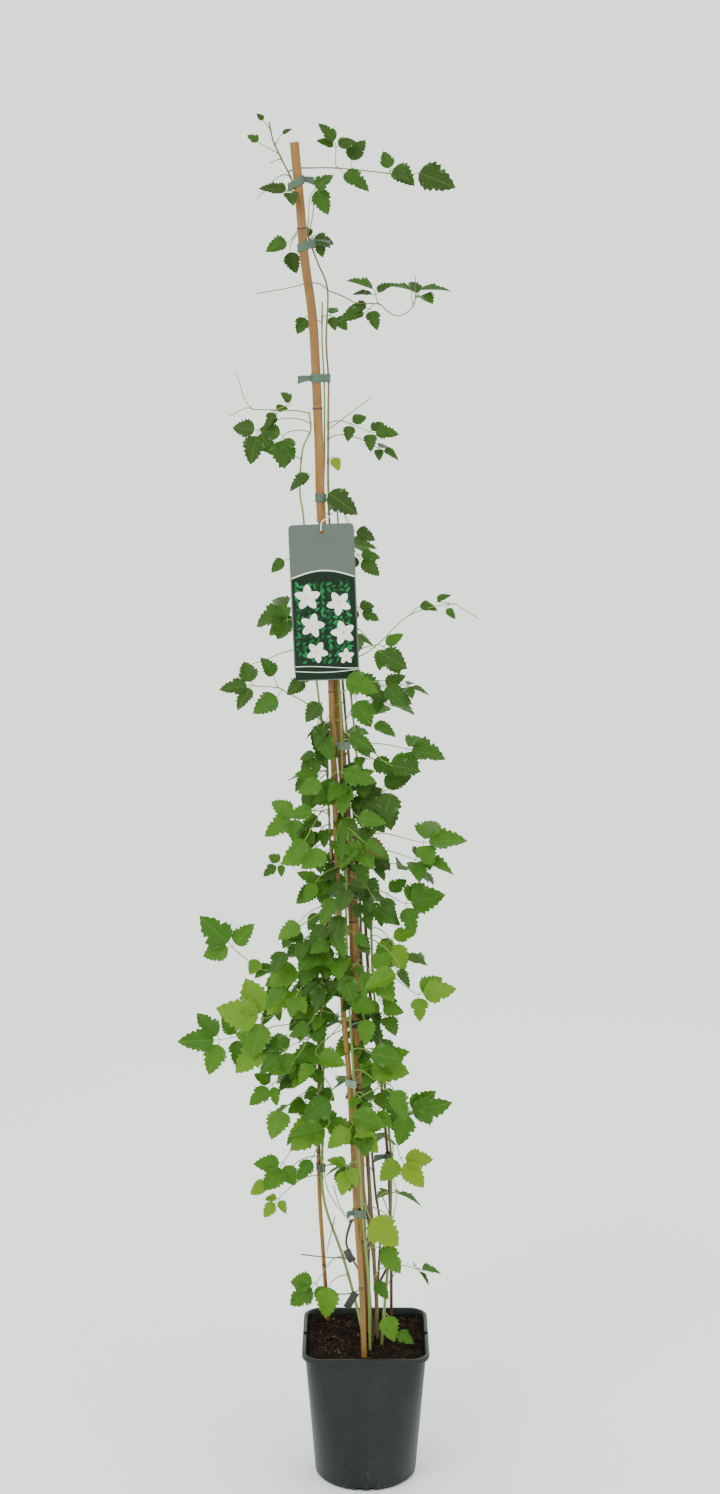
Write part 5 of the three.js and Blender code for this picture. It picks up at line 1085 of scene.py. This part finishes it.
# How woody each stem is at its foot and at a height of two metres
WOODY = {"leader": (0.9, 0.5), "second": (0.7, 0.2), "left": (0.34, 0.2), "right": (0.5, 0.15),
         "front": (0.34, 0.1), "back": (0.9, 0.3)}
bark = stem_finish()
blades_of = {"leaf_deep": leaf_finish("leaf_deep", (0.07, 0.20, 0.012)),
             "leaf_fresh": leaf_finish("leaf_fresh", (0.16, 0.36, 0.02))}
ROWS = [*toned(LEAVES, 1, 1100, 0.8, 0.35), *[far_leaf(i) for i in range(FAR_SIDE["count"])],
        *toned(MIDDLE_LEAVES, 1, 1150, 0.72, 0.5), *toned(SMALL_LEAVES, 201, 1100, 0.8, 0.35),
        *[inner_leaf(growth, i) for growth in GROWTH for i in range(growth["count"])]]
for name, (node, slot, thick, thin, _) in STEMS.items():
    own = [name, *[shoot for shoot, (parent, *_) in SHOOTS.items() if parent == name]]
    rows = [(row, seed) for seed, row in enumerate(ROWS, 1) if row[0] in own]
    stalks, blades = [], []
    for on in own:
        sizes = (thick, thin, 10) if on == name else (SHOOTS[on][1], SHOOTS[on][1] * 0.7, 6)
        beads = [on_stem(on, row[1])[0] for row, _ in rows if row[0] == on]
        stalks.append(stem_shape(CURVES[on], *sizes, beads, WOODY[name]))
    for row, seed in rows:
        more_stalks, more_blades = leaf(row, seed)
        stalks += more_stalks
        blades += more_blades
    if name == "front":
        stalks += [twig_shape(*twig) for twig in TWIGS]
    make_piece("stems_" + name, merged(stalks), bark, [node], 60)
    make_piece("leaves_" + name, merged(blades), blades_of[slot], [node], 75)


# The ties: soft green plant tape, 11 mm wide, wound round a cane and the stems beside it and pulled to
# a short free tail. Older ones have faded or gone brown, and two loose bits hang low among the twigs.
# Values: height, slope across the front, tail's side in degrees and length, shade, what it holds
TIES = {
    "tie_top": (1813, 0.5, (20, 14), "green", ["cane_main", "leader"]),
    "tie_upper": (1733, 0.36, (15, 20), "green", ["cane_main", "leader"]),
    "tie_middle": (1560, 0, (195, 18), "green", ["cane_main", "leader", "second"]),
    "tie_label": (1401, 0, (0, 0), "green", ["cane_main"]),
    "tie_pale": (1063, 0, (0, 0), "faded", ["cane_main", "leader"]),
    "tie_bundle": (858, 0, (350, 12), "green", [
        "cane_main", "cane_front", "cane_left", "cane_back", "leader", "second", "left", "front"]),
    "tie_dark": (668, 0, (200, 10), "brown", ["cane_main", "second"]),
    "tie_front": (588, 0, (0, 0), "faded", ["cane_front", "front"]),
    "tie_low_front": (404, 0, (200, 9), "green", ["cane_front", "front"]),
    "tie_low_left": (447, 0, (0, 0), "brown", ["cane_left", "left"]),
    "tie_low_right": (455, 0.1, (185, 16), "green", ["cane_right", "right"]),
}
TAPE = {"height": 11, "thick": 0.8, "clear": 0.5, "sides": 8, "steps": 60, "crease": 0.35,
        "tail_steps": 9}
SCRAPS = [[(-27, -29, 345), (-23, -32, 336), (-18, -30, 328)],
          [(-27, -29, 258), (-21, -31, 269), (-14, -29, 281)]]
TAPE_CORNERS = np.array([(-1, -1), (-1, 1), (1, 1), (1, -1)]) * [TAPE["height"] / 2, TAPE["thick"] / 2]


def round_at(name, height):
    """Centre and radius of a cane or stem at a height."""
    if name in CANES:
        radius, *_, route = CANES[name]
        return at_heights(np.array(route, float), [height])[0], radius
    *_, thick, thin, route = STEMS[name]
    route = np.array(route, float)
    place = np.interp(height, route[:, 2], np.arange(len(route))) / (len(route) - 1)
    return at_heights(route, [height])[0], thick + (thin - thick) * place


def hull(points):
    """The convex outline of flat points, anticlockwise: lower chain, then upper."""
    points = points[np.lexsort((points[:, 1], points[:, 0]))]
    chains = []
    for run in (points, points[::-1]):
        chain = []
        for point in run:
            while len(chain) > 1:
                (ax, ay), (bx, by) = chain[-1] - chain[-2], point - chain[-2]
                if ax * by - ay * bx > 0.02:
                    break
                chain.pop()
            chain.append(point)
        chains += chain[:-1]
    return np.array(chains)


def tape_section(crease):
    """The tape's cut end: height shares up its outside and down its inside, with depth shares from
    0, inside, to 1, outside. The crease pulls its middle in."""
    up = np.array([-0.5, -0.46, -0.2, 0, 0.2, 0.46, 0.5])
    depth = np.array([0.75, 1, 1, 1 - crease, 1, 1, 0.75])
    return np.concatenate([up, up[::-1]]), np.concatenate([depth, np.full(len(up), 0.05)])


def tie_shape(height, slope, tail, around, number):
    """A band drawn round the hull of what it holds, and a tail that leaves it at its far corner.
    Small waves round the band rumple its edges."""
    points = []
    for name in around:
        for side in (-1, 1):
            centre, radius = round_at(name, height + side * TAPE["height"] * (0.5 + slope))
            turn = 2 * np.pi * (np.arange(TAPE["sides"]) + 0.5) / TAPE["sides"]
            reach = (radius + TAPE["clear"]) / np.cos(np.pi / TAPE["sides"]) + 0.1
            points.append(centre[:2] + reach * np.stack([np.cos(turn), np.sin(turn)], -1))
    corners = hull(np.vstack(points))
    ring = np.vstack([corners, corners[:1]])
    walked = np.concatenate([[0], np.cumsum(np.linalg.norm(np.diff(ring, axis=0), axis=1))])
    steps = np.linspace(0, walked[-1], TAPE["steps"] + 1)[:-1]
    ring = np.stack([np.interp(steps, walked, axis) for axis in ring.T], -1)
    for _ in range(2):
        ring = (np.roll(ring, 1, 0) + 2 * ring + np.roll(ring, -1, 0)) / 4
    middle = ring.mean(0)
    tangent = unit(np.roll(ring, -1, 0) - np.roll(ring, 1, 0))
    outward = np.stack([tangent[:, 1], -tangent[:, 0]], -1)
    up, depth = tape_section(TAPE["crease"])
    place = 2 * np.pi * steps / walked[-1]
    rumple = 0.35 * np.sin(5 * place + number) + 0.2 * np.sin(11 * place + 2 * number)
    level = height + slope * (ring[:, 0] - middle[0])
    away = depth * TAPE["thick"] + 0.12 * rumple[:, None] * np.sign(up)
    xy = ring[:, None] + outward[:, None] * away[..., None]
    z = level[:, None] + up[None] * TAPE["height"] * (1 - 0.03 * rumple[:, None])
    rings = np.dstack([xy, z])[:, ::-1]
    parts = [surface(rings, wrap(len(rings), len(up), True))]
    side, length = tail
    if length:
        way = np.array([np.cos(np.radians(side)), np.sin(np.radians(side))])
        corner = ring[(ring @ way).argmax()] + way * TAPE["thick"] * 0.4
        out = np.linspace(-0.5, length, TAPE["tail_steps"])
        flank = np.array([-way[1], way[0]])
        bend = -np.array([0, 2]) * (out[:, None] / length) ** 2
        path = corner + way * out[:, None] + bend
        thick = (depth - 0.5) * TAPE["thick"] * 0.8
        level = height + slope * (corner[0] - middle[0]) - 2.5 * (out / length) ** 2
        narrow = 0.62 + 0.38 * (out / length)
        xy = path[:, None] + flank * thick[None, :, None]
        z = level[:, None] + up[None] * TAPE["height"] * narrow[:, None]
        parts.append(capped(np.dstack([xy, z])[:, ::-1]))
    return merged(parts)


def tape_finish(name, dark, light):
    """Soft vinyl tape: a dull sheen, fine stretch lines along it and slow patches of tone."""
    made = Finish(name, Specular_IOR_Level=0.45)
    stretch = made.noise(500, 3, (0.15, 0.15, 1))
    patch = made.noise(90, 4)
    made.set("Base Color", made.mix(patch * 0.6 + stretch * 0.4, dark, light))
    made.set("Roughness", 0.38 + patch * 0.25)
    made.bump(stretch + patch, 0.0008)
    return made


tapes = {"green": tape_finish("tape_green", (0.030, 0.066, 0.040), (0.070, 0.118, 0.078)),
         "faded": tape_finish("tape_faded", (0.13, 0.20, 0.155), (0.25, 0.33, 0.27)),
         "brown": tape_finish("tape_brown", (0.012, 0.012, 0.009), (0.035, 0.036, 0.026))}
for number, (name, (height, slope, tail, shade, around)) in enumerate(TIES.items()):
    shape = tie_shape(height, slope, tail, around, number)
    make_piece(name.replace("tie", "tape"), shape, tapes[shade], [name], 40)


def scrap_shape(route):
    """A loose bit of tape along a route: rings of the four corners of its section, with its width
    square to the route and to the line of sight."""
    curve = smooth_route(route)
    back = np.array([0, 1, 0])
    across = unit(np.cross(np.gradient(curve, axis=0), back))
    return capped(curve[:, None] + across[:, None] * TAPE_CORNERS[:, :1] + back * TAPE_CORNERS[:, 1:])


make_piece("tape_scraps", merged([scrap_shape(route) for route in SCRAPS]), tapes["brown"])


# The card label: a printed polypropylene card hung by a punched hole in front of the main cane. Its
# print is plain: a bare grey-green head, a white curve, and white blossoms over small leaves.
LABEL = {"width": 88, "height": 211, "thick": 0.8, "corner": 6, "hole": 3, "drop": 10,
         "at": (-60, -28, 1358), "lean": -2.2, "points": 240}


def on_card(flat, depth):
    """Card points (right, up) from the hole, at a depth behind its middle, in the part's frame."""
    lean = np.radians(LABEL["lean"])
    x, z = flat[..., 0], flat[..., 1]
    right, up = x * np.cos(lean) + z * np.sin(lean), z * np.cos(lean) - x * np.sin(lean)
    return np.stack([right, np.broadcast_to(depth, right.shape), up], -1) + LABEL["at"]


def card_edge(count):
    """The card's outline as distances from the hole at even turns. Each is found by halving: a point
    is outside where it lies more than the corner's radius from the core, the card without its
    corners' radius."""
    turn = 2 * np.pi * np.arange(count) / count
    way = np.stack([np.cos(turn), np.sin(turn)], -1)
    middle = np.array([0, LABEL["drop"] - LABEL["height"] / 2])
    core = np.array([LABEL["width"] / 2, LABEL["height"] / 2]) - LABEL["corner"]
    low, high = np.zeros(count), np.full(count, 400.0)
    for _ in range(40):
        reach = (low + high) / 2
        away = np.abs(way * reach[:, None] - middle) - core
        outside = np.linalg.norm(np.maximum(away, 0), axis=1) > LABEL["corner"]
        low, high = np.where(outside, low, reach), np.where(outside, reach, high)
    return way, (low + high) / 2


def card_shape():
    """Rings from the hole's front edge out over the front, round the rim and back to the hole."""
    way, reach = card_edge(LABEL["points"])
    half = LABEL["thick"] / 2
    shares = np.array([0, 0.25, 0.5, 0.75, 0.985, 1, 1, 0.985, 0.75, 0.5, 0.25, 0])
    depths = np.array([-1, -1, -1, -1, -1, -0.6, 0.6, 1, 1, 1, 1, 1]) * half
    radius = LABEL["hole"] + (reach[None] - LABEL["hole"]) * shares[:, None]
    rings = on_card(radius[..., None] * way[None], depths[:, None])
    return surface(rings, wrap(len(rings), len(way), True))


card = Finish("card", Specular_IOR_Level=0.25, Coat_Weight=0.06, Coat_Roughness=0.2)
fade = card.noise(14, 3)
scuff = card.noise(220, 5, (1, 1, 0.4), 0.7).step(0.6, 0.8)
card.set("Base Color", card.mix(fade, (0.066, 0.086, 0.076), (0.084, 0.105, 0.093)))
card.set("Roughness", 0.30 + scuff * 0.2 + fade * 0.05)
card.bump(scuff * 0.5 + card.noise(1200, 2) * 0.3, 0.0002)
make_piece("card_blank", card_shape(), card, ["label"], 30)

PRINT = {"proud": 0.06, "layer": 0.02, "margin": 1.8, "curve": -62, "bow": 9, "line": 1.6,
         "low_line": 0.9, "white": (0.74, 0.76, 0.70), "ground": (0.0008, 0.011, 0.003),
         "heart": (0.56, 0.50, 0.16), "leaf_step": 8.5, "petals": 5}
# Blossoms: right and up from the hole, and the length of a petal
BLOSSOMS = [(-22, -88, 18), (20, -97, 17), (-17, -126, 17), (24, -137, 17), (-12, -162, 15),
            (27, -169, 11)]
layers = []


def printed(points, colour, layer, **faces):
    """Lays flat faces just in front of the card, the higher layers a little nearer the viewer."""
    depth = -LABEL["thick"] / 2 - PRINT["proud"] - PRINT["layer"] * layer
    layers.append(surface(on_card(points, depth), look=colour, **faces))


def spot(outline, colour, layer):
    """A print inside a closed outline, as a fan from its middle."""
    ring = np.arange(len(outline))
    fan = np.stack([ring, np.roll(ring, -1), np.full(len(ring), len(ring))], -1)
    printed(np.vstack([outline, outline.mean(0)]), colour, layer, tris=fan)


def band(xs, low, high, colour, layer):
    """A print between two curves over the same places, as a ladder of quads."""
    points = np.concatenate([np.stack([xs, low], -1), np.stack([xs, high], -1)])
    step, count = np.arange(len(xs) - 1), len(xs)
    rungs = np.stack([step, step + 1, step + 1 + count, step + count], -1)
    printed(points, colour, layer, quads=rungs)


def petal_shape(middle, length, width, turn):
    """An outline whose half width is the square root of a sine along its length."""
    t = np.linspace(0, 1, 11)
    half = width / 2 * np.sqrt(np.sin(np.pi * t)) * (1 - 0.25 * t)
    x = np.concatenate([half, -half[-2:0:-1]])
    y = np.concatenate([t, t[-2:0:-1]]) * length
    c, s = np.cos(turn), np.sin(turn)
    return np.stack([middle[0] + c * x - s * y, middle[1] + s * x + c * y], -1)


half_width = LABEL["width"] / 2 - PRINT["margin"]
foot = LABEL["drop"] - LABEL["height"] + PRINT["margin"]
xs = np.linspace(-half_width, half_width, 41)
bow = PRINT["curve"] + PRINT["bow"] * np.cos(xs / 26)
band(xs, np.full(41, foot), bow, PRINT["ground"], 0)
band(xs, bow, bow + PRINT["line"], PRINT["white"], 1)
spots = np.random.default_rng(5)
for layer in range(2):
    columns, levels = np.meshgrid(np.arange(-37, 36, PRINT["leaf_step"]) + 2 * layer,
                                  np.arange(foot + 24, -68, PRINT["leaf_step"]) + 3 * layer)
    middles = np.stack([columns.ravel(), levels.ravel()], -1)
    turns = spots.uniform(0, 2 * np.pi, len(middles))
    sizes = spots.uniform(6.5, 9.5, len(middles))
    for number, (middle, turn, size) in enumerate(zip(middles, turns, sizes)):
        start = middle - np.array([-np.sin(turn), np.cos(turn)]) * size / 2
        light = 0.15 + 2.1 * chance(number, 2, 5 + layer) ** 1.5
        leaf_green = np.array([0.003, 0.078, 0.019]) * light
        spot(petal_shape(start, size, size * 0.5, turn), leaf_green, 2 + 2 * layer)
for number, (x, y, size) in enumerate(BLOSSOMS):
    for petal in range(PRINT["petals"]):
        turn = 2 * np.pi * (petal + 0.4 * number) / PRINT["petals"]
        white = np.array([0.76, 0.77, 0.70]) * (0.82 + 0.18 * chance(number, petal, 9))
        spot(petal_shape((x, y), size, size * 0.68, turn), white, 6 + petal)
    ring = np.radians(np.arange(0, 360, 30))
    spot(np.stack([x + 1.9 * np.cos(ring), y + 1.9 * np.sin(ring)], -1), PRINT["heart"], 12)
for rise in (11, 15.5):
    low = foot + rise + 2.2 * np.sin(xs / 24 + rise)
    band(xs, low, low + PRINT["low_line"], PRINT["white"], 6)
print_ink = Finish("print_ink", Specular_IOR_Level=0.12, Coat_Weight=0.03, Coat_Roughness=0.2)
colour = print_ink.look()
grain = print_ink.noise(700, 4)
print_ink.set("Base Color", print_ink.mix(grain.step(0.3, 0.9) * 0.04, colour, (0.30, 0.36, 0.28)))
print_ink.set("Roughness", 0.3 + grain * 0.1)
make_piece("card_print", merged(layers), print_ink)


# The strap: a closed loop of thin white plastic cord, through the card's hole, up over its top edge
# and round the main cane.
STRAP = [(-60, -25, 1359.3), (-60, -30.4, 1360.3), (-60, -30.8, 1365.5), (-59, -29.5, 1370.6),
         (-57, -25, 1372.5), (-50, -10, 1376), (-45.5, 0, 1378), (-45, 8, 1379), (-50, 13.4, 1379),
         (-58, 13.5, 1379), (-65.5, 9.5, 1377), (-68.2, 1, 1374.5), (-66.5, -8, 1370.5),
         (-62, -18, 1363.5)]
CORD = {"radius": 0.8, "sides": 10, "steps": 12}
loop = smooth_route(STRAP, CORD["steps"], closed=True)
cord_rings = tube_rings(loop, CORD["radius"], CORD["sides"], closed=True)
cord_shape = surface(cord_rings, wrap(len(loop), CORD["sides"], True))
cord = Finish("strap_cord", Specular_IOR_Level=0.5)
twist = cord.noise(700, 3)
cord.set("Base Color", cord.mix(twist, (0.62, 0.63, 0.60), (0.80, 0.81, 0.78)))
cord.set("Roughness", 0.35 + twist * 0.2)
cord.bump(twist, 0.0002)
make_piece("strap_loop", cord_shape, cord, ["label_strap"], 60)


# The studio: a plain pale floor that fades into the background, soft lights all round and the
# camera. The floor's sizes are millimetres, and where it fades, the lights and the camera are metres.
FLOOR = {"radius": 4200, "below": 0.2, "rings": 24, "sides": 64, "fade": (1.2, 4.0)}
# Lights: name, place, the point it faces, its side and its watts
LIGHTS = [("key", (-1.9, -2.6, 3.3), (0, 0, 0.9), 1.8, 75),
          ("fill", (2.6, -2.2, 1.7), (0, 0, 0.8), 2.2, 22),
          ("back", (0.8, 2.6, 2.6), (0, 0, 1.1), 1.8, 30)]
SKY = {"colour": (0.935, 1.0, 0.925), "strength": 1.8}
CAMERA = {"place": (-0.008, -3.073, 1.597), "down": 9.899, "lens": 54.82, "film": 36}


def level_disc(radius, rings, sides):
    """A flat disc of rings at even steps."""
    turn = 2 * np.pi * np.arange(sides) / sides
    reach = np.linspace(0.01, radius, rings)[:, None]
    level = np.full((rings, sides), -FLOOR["below"])
    return np.dstack([reach * np.cos(turn), reach * np.sin(turn), level])


disc = level_disc(FLOOR["radius"], FLOOR["rings"], FLOOR["sides"])
paper = Finish("floor_paper", Roughness=0.85, Specular_IOR_Level=0.2)
away = paper.node("ShaderNodeVectorMath", {"operation": "LENGTH"}, {0: paper.place()}, "Value")
paper.set("Base Color", paper.mix(paper.noise(60, 4) * 0.3, (0.86, 0.885, 0.865), (0.82, 0.845, 0.825)))
paper.set("Alpha", 1 - away.step(*FLOOR["fade"]))
mesh = bpy.data.meshes.new("floor")
quads = wrap(FLOOR["rings"], FLOOR["sides"])[:, ::-1]
mesh.from_pydata((disc.reshape(-1, 3) * MM).tolist(), [], quads.tolist())
mesh.materials.append(paper.material)
floor = bpy.data.objects.new("floor", mesh)
bpy.context.scene.collection.objects.link(floor)

world = bpy.data.worlds.new("studio")
world.use_nodes = True
sky = world.node_tree.nodes["Background"]
sky.inputs["Color"].default_value = (*SKY["colour"], 1)
sky.inputs["Strength"].default_value = SKY["strength"]
bpy.context.scene.world = world

for name, place, aim, side, watts in LIGHTS:
    lamp = bpy.data.lights.new(name, "AREA")
    lamp.shape, lamp.size, lamp.energy = "SQUARE", side, watts
    light = bpy.data.objects.new(name, lamp)
    bpy.context.scene.collection.objects.link(light)
    light.location = place
    x, y, z = np.subtract(place, aim)
    light.rotation_euler = (np.arctan2(np.hypot(x, y), z), 0, np.arctan2(x, -y))

lens = bpy.data.cameras.new("camera")
lens.lens, lens.sensor_width = CAMERA["lens"], CAMERA["film"]
camera = bpy.data.objects.new("camera", lens)
bpy.context.scene.collection.objects.link(camera)
camera.location = CAMERA["place"]
camera.rotation_euler = (np.radians(90 - CAMERA["down"]), 0, 0)
bpy.context.scene.camera = camera
